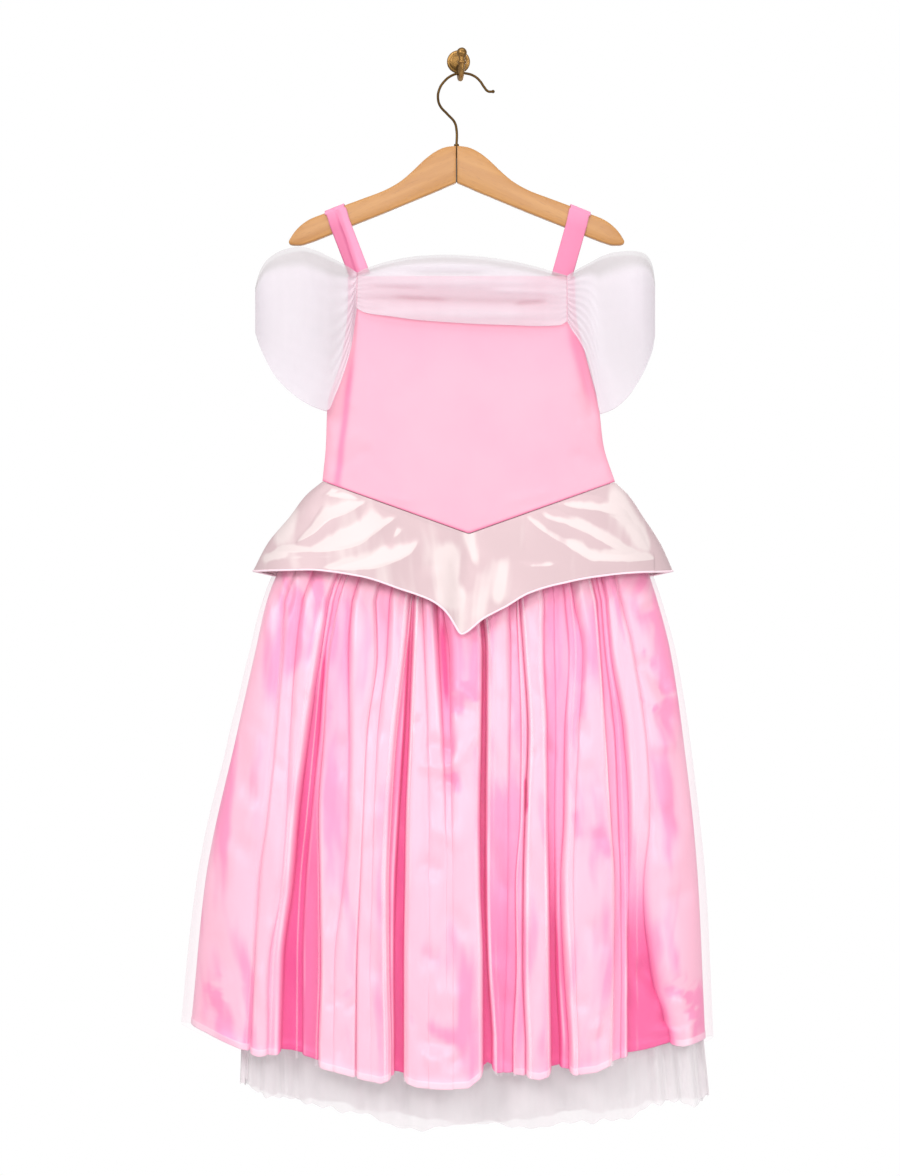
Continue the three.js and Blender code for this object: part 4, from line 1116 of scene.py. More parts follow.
# Painted shine: darker patches of the satin's shine above 0, paler ones below.
FRONT_PAINTED_SHINE = [
    (-154, -516, -168, -634, 10, 0.8),
    (-121, -585, -125, -875, 14, 0.5),
    (-230, -635, -253, -993, 9, 0.35),
    (-207, -843, -210, -1016, 4, 0.9),
    (-242, -887, -228, -997, 12, 0.25),
    (-80, -787, -77, -1042, 4, 0.5),
    (-8, -573, -11, -636, 9, 0.9),
    (-29, -748, 12, -727, 8, 0.8),
    (-50, -884, -2, -911, 8, 0.3),
    (-64, -952, 14, -986, 9, 1),
    (-18, -654, 25, -634, 7, 0.8),
    (45, -713, 48, -865, 14, 0.9),
    (48, -811, 48, -1040, 14, 1),
    (77, -811, 77, -1038, 8, 0.5),
    (95, -510, 98, -669, 8, 0.8),
    (120, -567, 123, -642, 7, 1.2),
    (122, -630, 125, -674, 5, 0.8),
    (113, -751, 120, -790, 6, 0.8),
    (130, -767, 154, -808, 6, 0.7),
    (184, -844, 180, -1010, 10, 1.3),
    (188, -521, 223, -707, 16, 0.7),
    (227, -667, 234, -798, 12, 0.15),
    (202, -922, 257, -957, 14, 1),
    (-182, -589, -196, -851, 14, -0.8),
    (-211, -638, -221, -832, 6, -0.8),
    (-194, -792, -194, -1013, 12, -1.4),
    (-125, -824, -121, -1031, 14, -0.9),
    (-85, -572, -90, -854, 10, -0.8),
    (-37, -585, -44, -806, 14, -0.8),
    (-34, -790, -27, -887, 16, -0.4),
    (-33, -988, 1, -994, 8, -0.8),
    (3, -683, 3, -910, 12, -0.7),
    (47, -527, 47, -758, 13, -0.8),
    (77, -520, 77, -851, 8, -0.9),
    (135, -586, 131, -1007, 15, -0.7),
    (162, -488, 193, -908, 8, -0.8),
    (171, -536, 193, -564, 7, -0.8),
    (222, -760, 229, -932, 16, -0.8),
    (-136, -506, -153, -630, 4, 1.1),
    (-120, -512, -128, -623, 4, 1),
    (-111, -520, -111, -610, 3, 0.8),
    (-173, -505, -190, -670, 4, 0.9),
    (-58, -528, -60, -597, 5, 0.6),
    (92, -516, 93, -599, 4, 0.7),
    (137, -506, 153, -624, 4, 0.9),
    (151, -508, 169, -612, 3, 0.8),
    (19, -575, 14, -658, 4, 0.6),
    (180, -552, 236, -593, 5, 0.8),
    (200, -605, 244, -616, 4, 0.7),
    (194, -648, 251, -635, 4, -0.7),
    (212, -950, 254, -972, 8, 1.0),
    (196, -858, 226, -930, 6, 0.8),
    (-44, -704, -14, -712, 4, -1.3),
    (-20, -712, 8, -703, 4, -1.3),
    (2, -706, 25, -668, 4, -1.3),
    (-28, -719, 3, -726, 5, 1.3),
    (-38, -690, -4, -695, 5, 0.9),
    (-14, -636, 6, -630, 3.5, 1.2),
    (2, -628, 24, -650, 3.5, 1.2),
    (-20, -648, 8, -660, 5, 1.1),
    (-128, -936, -104, -920, 4, -1.0),
    (-127, -946, -103, -932, 4, 0.6),
    (206, -924, 240, -938, 3, -1.3),
    (204, -934, 236, -946, 2.5, 1.2),
    (214, -948, 246, -958, 3, -1.2),
    (208, -962, 244, -968, 2.2, -1.4),
    (180, -628, 208, -650, 4, -1.2),
    (176, -640, 204, -664, 3, 1.1),
    (182, -592, 200, -622, 4, 1.1),
    (-251, -926, -236, -956, 5, 0.9),
    (-244, -922, -229, -948, 4, -1.0),
]
BACK_PAINTED_SHINE = for_the_back(FRONT_PAINTED_SHINE)
# Painted shade along each thin slit where two folds touch.
FRONT_SLIT_SHADE = [
    (66, -720, 67.5, -762, 1.3, 1.0),
    (24, -600, 28, -1040, 1.3, 0.9),
    (-50, -565, -57, -760, 1.6, 0.8),
    (-134, -590, -146, -720, 2.4, 0.6),
    (95, -850, 101, -1040, 2.2, 0.6),
    (-17, -560, -11, -660, 2.5, 0.5),
]
HEM_BAND = 7
CREASE_HEIGHT = 1.5


def rows_down(start, end, count, hem_rows=0, hem_band=HEM_BAND):
    """Even rows, with some extra ones in the hem."""
    body = np.linspace(start, end - (hem_band if hem_rows else 0), count)
    if not hem_rows:
        return body
    return np.append(body, np.linspace(end - hem_band, end, hem_rows + 1)[1:])


def satin_waves(x, z, seed):
    """Slow waves with a few sharper dents."""
    slow = 1.15 * ripples(x, z, 38, 95, seed)
    dents = np.clip(ripples(x, z, 26, 60, seed + 10) - 0.35, 0, None) ** 1.5
    return slow - 1.7 * dents + 0.25 * ripples(x, z, 9, 40, seed + 11)


print(len(FRONT_CREASES), "creases and", len(FRONT_PAINTED_SHINE), "patches of shine in front")

# %% [markdown]
# ## The satin skirt and its net
#
# The net over the satin rides on the panels and bridges the slots between them. It is only
# seen where it piles up: along the edges of folds, as fine pale lines, and at the skirt's two
# sides, where it stands out past the satin. Piles so fine would take very many faces, so they
# are marks on a smooth sheet. NET_LINES places them: each has the number of its fold edge, how
# far to the right of the edge it lies, and how strong it is. The satin's hem is turned up once,
# and a narrow band along it is painted paler, less in deep folds.

# %% Satin and net skirt
NET_LINES = (
    (1, 3, 0.4), (3, -4, 0.5), (4, 0.5, 0.5), (5, 3, 0.5), (7, 1.0, 0.4), (9, -4, 0.8), (9, 1.5, 0.5),
    (11, 4, 0.9), (15, -4, 0.4), (16, 4, 0.9), (16, 9, 0.35), (18, 0.6, 0.6), (19, 3, 0.8), (20, -5, 0.6),
    (22, 5, 0.5), (24, -4, 0.8), (25, 0.4, 0.4), (26, 4, 0.35),
)
NET_LINE_WIDE = 1.0
NET_EDGE_FADE = 10


def skirt_panel(face, per_panel, row_count, kind):
    """The points and marks of one satin or net panel of the skirt."""
    mirror = face == "back"
    edges = mirrored_edges() if mirror else FOLD_EDGES
    creases = BACK_CREASES if mirror else FRONT_CREASES
    painted_shine = BACK_PAINTED_SHINE if mirror else FRONT_PAINTED_SHINE
    slit_shade = [] if mirror else FRONT_SLIT_SHADE
    down = rows_down(WAIST_DOWN, HEM_DOWN, row_count, hem_rows=5)
    row = rows_at(SKIRT, "down", down)
    across, sink, veil, drop, lip_shine = fold_form(edges, row, per_panel, mirror)
    gathered = ease((down - WAIST_DOWN) / 46).reshape(-1, 1)
    fade = ease((1 - np.abs(across)) / 0.05)
    waist = np.clip((down - WAIST_DOWN) / 110, 0.35, 1).reshape(-1, 1)
    sink, veil = sink * waist, veil * waist
    if kind == "satin":
        row["left"] = row["left"] + row["flare"]
        row["right"] = row["right"] - 0.7 * row["flare"]
    points = on_section(row, across, face)
    x, z = points[..., 0], points[..., 2]
    waves = satin_waves(x, z, 4 if mirror else 3) + CREASE_HEIGHT * troughs(x, z, creases)
    waves = waves * (0.7 if mirror else 1)
    packed = 1 - ease((down - 480) / 150).reshape(-1, 1)
    waves = waves + 1.3 * packed * ripples(x, z * 0.1, 9, 300, 6, count=12)
    form = SLOT_DEPTH * (1 - np.exp(-sink / SLOT_DEPTH))
    cloth = -form + waves * fade
    stand = row["net"].reshape(-1, 1)
    if kind == "satin":
        in_band = ease((down - (HEM_DOWN - HEM_BAND)) / 1.5).reshape(-1, 1)
        offset = -SATIN_TUCK * (1 - gathered) + cloth * gathered + 0.5 * in_band
        offset = np.minimum(offset, stand - 0.8)
        # Painted light and shade: shade deepens the colour down each fold, along each thin slit and a little
        # near the gathered waist, a highlight pales the lip of each fold, the placed strokes paint the
        # patches of the shine, and a band along the hem is painted paler.
        marks = {
            "painted_shade": np.clip(sink / 25 + 0.08 * packed + troughs(x, z, slit_shade), 0, 1) * gathered,
            "lip_highlight": lip_shine * gathered * np.clip(0.75 + 0.5 * ripples(x, z, 60, 70, 8), 0, 1),
            "cloud": troughs(x, z, painted_shine) * gathered,
            "hem_band": np.broadcast_to(in_band * (1 - np.clip(sink / 14, 0, 1)), sink.shape),
        }
    else:
        fine = 0.35 * ripples(x, z * 0.25, 9, 400, 20, count=14)
        offset = np.maximum(stand - 0.2 * veil + fine, np.minimum(cloth + 0.9, stand))
        offset = offset * gathered - NET_TUCK * (1 - gathered)
        wide = (row["right"] - row["left"]).reshape(-1, 1)
        crowd = 0.32 * np.exp(-(((1 - np.abs(across)) * wide / 2 / NET_EDGE_FADE) ** 2))
        edge_across, _, _ = edge_runs(edges, row, mirror)
        half = ((row["right"] - row["left"]) / 2).reshape(-1, 1)
        for number, aside, strength in NET_LINES:
            apart = (across - edge_across[:, number : number + 1]) * half - aside
            crowd = crowd + strength * np.exp(-((apart / NET_LINE_WIDE) ** 2))
        marks = {"crowding": np.clip(crowd, 0, 1)}
    points = pushed_out(points, offset, face)
    if mirror:
        drop, sink = drop[:, ::-1], sink[:, ::-1]
        marks = {name: values[:, ::-1] for name, values in marks.items()}
    points = lowered_hem(points, drop, sink if kind == "satin" else veil * 0.5, down)
    return points, marks


def make_satin(name, face, per_panel, row_count):
    points, marks = skirt_panel(face, per_panel, row_count, "satin")
    return cloth_sheet(name, points, thickness=0.7, marks=marks)


def make_net(name, face, per_panel, row_count):
    points, marks = skirt_panel(face, per_panel, row_count, "net")
    return cloth_sheet(name, points, marks=marks)


satin_front = dress_piece(make_satin("satin_front", "front", 12, 112), skirt_satin, "satin", "skirt_front")
satin_back = dress_piece(make_satin("satin_back", "back", 9, 80), skirt_satin, "satin", "skirt_back")
net_front = dress_piece(make_net("net_front", "front", 17, 66), pink_net, "pink_net", "overskirt_front")
net_back = dress_piece(make_net("net_back", "back", 12, 50), pink_net, "pink_net", "overskirt_back")

# %% [markdown]
# ## The petticoat
#
# Under the satin hangs a longer petticoat of stiff white net, which holds the skirt out and
# shows as a pale ruffle below the hem. Its edge is cut, not sewn, so it is uneven. Stiff net
# waves far more regularly than satin folds, so its waves aren't placed one by one: they are one
# cosine round the hem, made uneven by ripples. Where the net turns away from its plain form,
# more of its threads lie in line, and the mesh marks it as crowded.

# %% Petticoat
PETTICOAT_HEM_DOWN = 1034
PETTICOAT = table(
    "down left left_z right right_z centre_z vee seam front back tuck wave",
    (WAIST_DOWN, -138, -429, 158.5, -429.5, -482.4, 1.0, -22, -43, -6, PETTICOAT_TUCK, 0),
    (478, -150, -478, 164, -478, -520, 1.2, -27, -41, -22, 0, 0.5),
    (545, -176, -545, 183, -545, -578, 1.4, -33, -54, -25, 0, 1),
    (680, -203, -680, 213, -680, -712, 1.6, -40, -66, -26, 0, 2),
    (830, -212, -830, 230, -833, -868, 1.7, -47, -76, -29, 0, 3.5),
    (PETTICOAT_HEM_DOWN, -219, -1034, 251, -1044, -1073, 1.8, -55, -84, -31, 0, 6),
)
PETTICOAT_WAVES = 15


def petticoat_panel(name, face, columns, row_count):
    """One of the petticoat's two sheets."""
    seed = 31 if face == "front" else 37
    down = rows_down(WAIST_DOWN, PETTICOAT_HEM_DOWN, row_count)
    row = rows_at(PETTICOAT, "down", down)
    turn = np.linspace(-1, 1, columns)
    across = np.broadcast_to(round_the_side(turn), (len(down), columns))
    points = on_section(row, across, face)
    uneven = 0.7 * ripples(turn * 100, down.reshape(-1, 1) * 0.1, 40, 60, seed)
    phase = turn * PETTICOAT_WAVES / 2 + uneven
    wave = row["wave"].reshape(-1, 1) * (0.5 - 0.5 * np.cos(2 * math.pi * phase))
    small = 0.3 * row["wave"].reshape(-1, 1) * ripples(turn * 100, down.reshape(-1, 1) * 0.1, 5, 60, seed + 1)
    fade = ease((1 - np.abs(turn)) / 0.04)
    tuck = row["tuck"].reshape(-1, 1)
    offset = (-tuck - wave + small * 0.5 - 0.5) * fade - tuck * (1 - fade)
    age = ease((down - 900) / 134).reshape(-1, 1)
    ragged = 5 * ripples(turn * 100, 0, 26, 50, seed + 2) + 2.2 * ripples(turn * 100, 0, 6, 50, seed + 3)
    points[..., 2] += age * ragged
    plain = pushed_out(points, np.zeros(offset.shape), face)
    moved = pushed_out(points, offset, face)
    facing = np.abs(np.sum(outward(moved) * outward(plain), axis=2))
    return cloth_sheet(name, moved, marks={"crowding": np.clip(1.1 * (1 - facing), 0, 1)})


petticoat_front = petticoat_panel("petticoat_net_front", "front", 320, 60)
petticoat_back = petticoat_panel("petticoat_net_back", "back", 260, 50)
dress_piece(petticoat_front, petticoat_net, "tulle", "petticoat_front")
dress_piece(petticoat_back, petticoat_net, "tulle", "petticoat_back")

# %% [markdown]
# ## The bodice
#
# The bodice is cut in one plain piece in front and one behind, and ends in a point. It hangs
# almost flat, with a few soft creases that run in from the side seams above the waist, and a
# shallow crease near each side, whose shade is painted as a darker stripe. Shade is painted
# along its side edges and its waist seam too, and it is painted darker towards its top. It
# could be a pillow blown up by a simulation, but a sheet on the gown's form is enough for each
# piece, because nothing on it folds back. Above the side seams front and back part at the
# armholes, so front_edge and back_edge say how deep the side edges of each lie.

# %% Bodice
NECK_DOWN, POINT_SEAM_DOWN = 221, 428
BODICE = table(
    "down left left_z right right_z centre_z vee seam front back front_edge back_edge",
    (NECK_DOWN, -112, -221, 118, -221, -221, 2, -17, -29, -8, -25, -11),
    (256, -112.5, -256, 119, -256, -260, 2, -17, -31, -8, -25.5, -11),
    (305, -119, -305, 130, -305, -315, 2, -19, -34, -7.5, -24, -14),
    (352, -133, -352, 142, -352, -370, 2, -22, -37, -7, -22, -22),
    (392, -134.5, -392, 147, -392, -425, 1.2, -22, -40, -6.5, -22, -22),
    (POINT_SEAM_DOWN, -138, -427.9, 158.5, -428.4, -481.2, 1, -22, -43, -6, -22, -22),
)
BODICE_CREASES = [
    (-132, -420, -84, -392, 7, -1.6),
    (-134, -404, -96, -372, 6, 1.3),
    (-130, -380, -104, -350, 6, -1.2),
    (152, -418, 110, -396, 7, -1.6),
    (148, -398, 116, -366, 6, 1.2),
    (140, -370, 118, -336, 6, -1.1),
    (-96, -446, -40, -450, 5, 0.8),
    (40, -452, 100, -438, 5, 0.8),
    (-100, -300, -88, -420, 14, 0.9),
    (108, -310, 104, -420, 14, 0.9),
    (-105, -280, -126, -424, 4.5, -1.4),
    (110, -262, 138, -364, 5, -0.9),
]
BODICE_STRIPE_SHADE = [(-105, -280, -128, -475, 4.5, 0.8), (110, -262, 138, -364, 6, 0.5)]


def bodice_panel(name, face, columns, row_count):
    """The bodice's front or back, with a wall behind its face."""
    down = rows_down(NECK_DOWN, POINT_SEAM_DOWN, row_count)
    row = rows_at(BODICE, "down", down)
    across = np.broadcast_to(round_the_side(np.linspace(-1, 1, columns)), (len(down), columns))
    points = on_section(row, across, face)
    x, z = points[..., 0], points[..., 2]
    fade = ease((1 - np.abs(across)) / 0.06) * ease((POINT_SEAM_DOWN - down) / 10).reshape(-1, 1)
    soft = 0.5 * ripples(x, z, 90, 110, 51) + 0.25 * ripples(x, z, 30, 40, 52)
    creases = BODICE_CREASES
    if face == "back":
        creases = [(-x0, z0, -x1, z1, wide, height) for x0, z0, x1, z1, wide, height in BODICE_CREASES]
    offset = (troughs(x, z, creases) + soft) * fade - 0.2
    near_side = 0.3 * ease((np.abs(across) - 0.93) / 0.07)
    moved = pushed_out(points, offset, face)
    seam = 0.9 * ease((down - 425.5) / 2).reshape(-1, 1)
    near_top = 0.28 * ease((345 - down) / 90).reshape(-1, 1)
    # Painted shade: darker towards the side edges, along the waist seam and in a stripe near each side; also
    # darker towards the top.
    shade = np.clip(near_side + near_top + seam + troughs(x, z, BODICE_STRIPE_SHADE), 0, 1)
    marks = {"painted_shade": shade if face == "front" else shade[:, ::-1]}
    return cloth_sheet(name, moved, thickness=1.2, marks=marks)


velour_front = bodice_panel("velour_front", "front", 150, 120)
velour_back = bodice_panel("velour_back", "back", 110, 80)
dress_piece(velour_front, pink_velour, "velour", "bodice_front")
dress_piece(velour_back, pink_velour, "velour", "bodice_back")

# %% [markdown]
# ## The peplum
#
# A short over-skirt of pale pearly satin hangs from the same pointed seam. It flares to both
# sides and comes to a second point in front. It is cut on the cross, so it pulls into broad
# creases that spread from the waist towards its corners. Each is a ridge with a flat upper
# side, which faces the light overhead, and a soft lower side. A rendered sheet alone shines
# more evenly than this cloth, so its shine is placed too, as painted highlights: a pale mark
# along the upper side of each crease, and a few soft glows on the panels between. Its edge is
# piped.

# %% Peplum
PEPLUM = table(
    "fall left right seam front back",
    (0, -138, 158.5, -22, -43, -6),
    (0.15, -154, 172, -23, -49, -4.8),
    (0.4, -171, 187, -25, -58, -3.8),
    (0.7, -193, 204, -28, -69, -3.2),
    (1, -207, 216, -31, -80, -3.2),
)
PEPLUM_EDGE = table(
    "across z",
    (-1, -518), (-0.75, -517), (-0.5, -523.5), (-0.3, -536), (-0.17, -546), (-0.1, -558), (-0.01, -582.6),
    (0.11, -566), (0.2, -553.5), (0.3, -541), (0.45, -531), (0.75, -521), (1, -518),
)
PEPLUM_TOP = {"left_z": -428.4, "right_z": -428.9, "centre_z": -481.8}
PEPLUM_BACK_DIP = 24
PEPLUM_SLOPE = 0.14
PEPLUM_FALL = 42
PEPLUM_SPREAD = 1.3
PEPLUM_BULGES = [
    (-44, -574, 54, -574, 30, 6.0),
    (-30, -512, -12, -562, 11, 1.6),
    (18, -504, 30, -556, 10, 1.3),
    (-6, -500, 2, -548, 6, -1.1),
]
PEPLUM_RIDGES = (
    ((-196, -503.7, 1), (-177, -499.3, 6), (-148, -500.4, 9), (-118, -497.1, 20),
     (-99, -491.9, 21), (-86, -482.4, 20), (-73, -472.9, 8), (-60, -463.3, 0)),
    ((-162, -490.5, 3), (-146, -481.7, 10), (-131, -468.5, 12), (-111, -459.7, 12), (-94, -450, 2)),
    ((-134, -443, 0), (-128, -443.5, 5), (-108, -446.5, 5), (-92, -449, 0)),
    ((-138, -443, 0), (-128, -441, 6), (-117, -436, 0)),
    ((-139, -516, 1), (-111, -517.6, 12), (-89, -516.9, 17), (-74, -513, 18),
     (-60, -508, 14), (-48, -500.7, 8), (-38, -486.8, 0)),
    ((-67, -487.5, 0), (-62, -483, 6), (-54, -475.8, 0)),
    ((-176, -506, 0), (-158, -506, 3), (-140, -505.9, 3), (-119, -503.7, 0)),
    ((68, -464.7, 2), (76, -472.6, 6), (94, -486.4, 9), (116, -498.6, 12),
     (137, -509.4, 14), (162, -509.4, 13), (196, -507.8, 6)),
    ((80, -458.8, 0), (91, -468, 8), (106, -472.6, 13), (123, -478.7, 14),
     (140, -487.9, 14), (162, -498.6, 10), (182, -503.2, 3)),
    ((98, -449, 0), (112, -455, 9), (128, -457.3, 12), (141, -458.8, 12), (166, -464, 6), (178, -474, 0)),
    ((141, -459, 0), (160, -467, 3), (180, -480.3, 4), (194, -504.8, 1)),
    ((56, -509, 0), (74, -515, 5), (92, -514, 5), (106, -506, 0)),
)
PEPLUM_GLOWS = [
    (-10, -484, -7, -562, 12, 1.0),
    (42, -494, 38, -560, 9, 0.8),
    (7, -470, 19, -520, 6, 0.8),
    (0, -526, 6, -600, 15, 0.7),
    (22, -505, 20, -580, 12, 0.6),
    (64, -498, 108, -516, 6, 0.4),
    (150, -432, 200, -512, 8, 0.8),
    (-200, -508, -168, -500, 4, 0.8),
    (-150, -444, -190, -500, 9, 0.42),
    (-120, -440, -160, -492, 7, 0.3),
]


def above_crest(x, z, line):
    """For each point, how far it lies above a crease's crest, and how wide the crease's upper
    side is there. A crease runs through its places from left to right, and every place also
    says how wide the upper side is."""
    run_x, run_z, up = np.array(line, float).T
    crest = smooth_curve(run_x, run_z, x)
    tilt = (smooth_curve(run_x, run_z, x + 1) - smooth_curve(run_x, run_z, x - 1)) / 2
    wide = np.maximum(PEPLUM_SPREAD * np.interp(x, run_x, up, left=0, right=0), 1e-3)
    return (z - crest) / np.sqrt(1 + tilt**2), wide


def ridges(x, z, lines, slope, long_fall):
    """Creases with a flat bright upper side and a soft lower one."""
    total = np.zeros(x.shape)
    for line in lines:
        above, wide = above_crest(x, z, line)
        upper = slope * (wide - above)
        lower = slope * wide * (1 + above / long_fall) ** 2
        form = np.where(above > 0, np.maximum(upper, 0), np.where(above > -long_fall, lower, 0))
        total = np.maximum(total, form)
    return total


def ridge_shine(x, z, lines):
    """How pale the shine is on the creases' upper sides, in uneven streaks along them."""
    total = np.zeros(x.shape)
    for number, line in enumerate(lines):
        above, wide = above_crest(x, z, line)
        streaks = 0.9 + 0.2 * ripples(x, above, 90, 7, 90 + number)
        upper = ease((above + 1.5) / 3.0) * ease((wide - above) / (0.8 * wide + 1))
        total = np.maximum(total, upper * ease(wide / 9) * streaks)
    return total


def peplum_points(face, columns, row_count, fall=None):
    """The peplum's points, or one row of them at a share of the way down."""
    falls = np.linspace(0, 1, row_count) if fall is None else np.array([fall - 0.01, fall])
    row = rows_at(PEPLUM, "fall", falls)
    for name, height in PEPLUM_TOP.items():
        row[name] = np.full(len(falls), float(height))
    row["vee"] = np.ones(len(falls))
    turn = np.linspace(-1, 1, columns)
    across = np.broadcast_to(round_the_side(turn), (len(falls), columns))
    points = on_section(row, across, face)
    if face == "front":
        edge = smooth_curve(PEPLUM_EDGE["across"], PEPLUM_EDGE["z"], across[0])
    else:
        edge = PEPLUM_EDGE["z"][0] - PEPLUM_BACK_DIP * (1 - across[0] ** 2)
    top = points[0, :, 2].copy()
    points[..., 2] = top + (edge - top) * falls.reshape(-1, 1)
    x, z = points[..., 0], points[..., 2]
    side = 1 if face == "front" else -0.5
    fade = ease((1 - np.abs(across)) / 0.04) * ease(falls / 0.05).reshape(-1, 1)
    soft = 0.5 * ripples(x, z, 60, 60, 61)
    creased = ridges(x * np.sign(side), z, PEPLUM_RIDGES, PEPLUM_SLOPE, PEPLUM_FALL)
    offset = (side * creased + troughs(x, z, PEPLUM_BULGES) + soft) * fade
    if face == "back":
        offset = np.minimum(offset, 0)
    return pushed_out(points, offset, face)


def peplum_panel(name, face, columns, row_count):
    """The peplum's front or back. Its mark is low where the shine is pale."""
    points = peplum_points(face, columns, row_count)
    x, z = points[..., 0], points[..., 2]
    if face == "front":
        shine = ridge_shine(x, z, PEPLUM_RIDGES) + troughs(x, z, PEPLUM_GLOWS)
    else:
        shine = 0.8 * ridge_shine(-x, z, PEPLUM_RIDGES)
    return cloth_sheet(name, points, thickness=0.8, marks={"cloud": 1.1 - 2.4 * np.clip(shine, 0, 1)})


def peplum_piping(name, face, columns):
    """A thin covered cord along the lower edge."""
    edge = peplum_points(face, columns, 0, fall=1.0)[-1]
    lifted = [(x, y + (0.5 if face == "front" else -0.5), z - 0.9) for x, y, z in edge]
    return rod_along(name, lifted, 1.1, sides=3, steps=2)


pearl_front = dress_piece(peplum_panel("pearl_front", "front", 330, 96), pearl_satin, "lame", "peplum_front")
pearl_back = dress_piece(peplum_panel("pearl_back", "back", 200, 36), pearl_satin, "lame", "peplum_back")
piping_front = dress_piece(peplum_piping("piping_front", "front", 120), piping_satin, "lame")
piping_back = dress_piece(peplum_piping("piping_back", "back", 80), piping_satin, "lame")

# %% [markdown]
# ## The neck band
#
# A doubled length of white net is laid over the neckline in soft level folds, and gathered
# into a short upright seam at each end. It follows the bodice below it, so it is made as one
# sheet that stands off the bodice's own face by the height of its folds. BAND gives its upper
# and lower edge from end to end, and how full its folds are there.

# %% Neck band
BAND = table(
    "x top bottom swell",
    (-102.4, -217.5, -254, 0), (-95, -214, -258, 0.5), (-70, -206, -262, 0.9), (-40, -201, -266, 1),
    (-13.7, -199.8, -268, 1), (20, -201.5, -270, 1), (50, -205.5, -271, 1), (80, -212, -272, 0.9),
    (102, -218.5, -271, 0.5), (109.3, -220.5, -267, 0),
)
BAND_FOLD_SHARE = {"front": 1.0, "back": 0.6}
BAND_FOLDS = [
    (-118, -226, 122, -229, 6, 2.2),
    (-118, -243, 122, -249, 3.4, -1.1),
    (-70, -242.5, -4, -246.5, 1.8, -1.2),
    (52, -250.4, 92, -246.4, 2.2, -1.4),
    (-118, -257, 122, -262, 7, 2.4),
    (-90, -213, 60, -212, 4, 1.2),
    (-60, -219, 40, -218.5, 2.5, -1.4),
    (20, -236, 120, -238, 3, 1.4),
    (-100, -231, -30, -234, 2.5, -1.0),
]


def bodice_face(x, z, face):
    """How deep the bodice's outer face lies at a place."""
    row = rows_at(BODICE, "down", np.clip(-z, NECK_DOWN, POINT_SEAM_DOWN))
    across = np.clip((2 * x - row["left"] - row["right"]) / (row["right"] - row["left"]), -1, 1)
    rise = np.sqrt(np.clip(1 - np.abs(across) ** ROUNDNESS, 0, 1))
    edge = row[face + "_edge"]
    return edge + (row[face] - edge) * rise


def band_panel(name, face, columns, row_count):
    """The neck band in front or behind."""
    side = -1 if face == "front" else 1
    x = np.linspace(BAND["x"][0], BAND["x"][-1], columns)
    shape = rows_at(BAND, "x", x)
    fall = np.linspace(0, 1, row_count).reshape(-1, 1)
    wide_x = np.broadcast_to(x, (row_count, columns))
    z = shape["top"] + (shape["bottom"] - shape["top"]) * fall
    fine = 0.3 * ripples(wide_x * 0.3, z, 60, 9, 72)
    pull = 0.25 * np.sin(60 * fall) * (1 - shape["swell"])
    folds = troughs(wide_x, z, BAND_FOLDS) * BAND_FOLD_SHARE[face]
    lift = 2.0 + (1.6 + folds) * shape["swell"] + fine + pull
    y = bodice_face(wide_x, z, face) + side * np.maximum(lift, 1.2)
    points = np.stack([wide_x, y, z], axis=2)
    shade = 0.3 + 0.08 * folds - 0.3 * ease((0.16 - fall) / 0.1) + 0.15 * (1 - shape["swell"])
    if face == "back":
        points, shade = points[:, ::-1], shade[:, ::-1]
    return cloth_sheet(name, points, marks={"crowding": np.clip(shade, 0, 1)})


band_front = band_panel("band_net_front", "front", 200, 60)
band_back = band_panel("band_net_back", "back", 140, 36)
dress_piece(band_front, white_net, "tulle", "neck_band_front")
dress_piece(band_back, white_net, "tulle", "neck_band_back")

# %% [markdown]
# ## The sleeves
#
# Each sleeve is a wide loop of net that springs from the band's gathered end, puffs out round
# the arm and comes back to the band behind. Its small gathers fan out from the seam and soon
# fade into a smooth milky puff, and it is thinnest along its upper edge. It could be a tube
# bent round the arm, but the loop is open above and below, so one sheet from seam to seam is
# enough. Each row of its table is a station on the way out: where it lies across, its upper
# and lower edge, and how deep its front and its back lie.

# %% Sleeves
SLEEVE_LEFT = table(
    "x top bottom front back",
    (-102.8, -217.5, -254, -30, -5.6), (-108, -214, -292, -32, -5), (-115, -210, -318, -37, -4.2),
    (-124, -205.5, -342, -41, -3.8), (-132, -202, -357, -44, -3.5), (-146, -196, -353, -47, -3.5),
    (-160, -193, -345.5, -48, -3.5), (-174, -195.5, -334, -46, -4), (-186, -200.5, -321, -42, -6),
    (-196, -209, -303, -36, -10), (-202.5, -221, -288, -29, -16), (-206, -233, -277, -22.5, -22.5),
)
SLEEVE_RIGHT = table(
    "x top bottom front back",
    (109.7, -220.5, -267, -30, -5.6), (114, -218, -275, -32, -5), (121, -214, -285, -36, -4.2),
    (130, -209.5, -304, -40, -3.8), (137, -206, -333, -43, -3.5), (143, -203, -360, -45, -3.5),
    (156, -199, -355, -47, -3.5), (172, -197.5, -341, -46, -4), (184, -198.5, -323, -42, -6),
    (191.5, -203, -308, -36, -10), (196.5, -213, -294, -29, -16), (199, -228, -280, -22.5, -22.5),
)
SLEEVE_GATHERS = 10


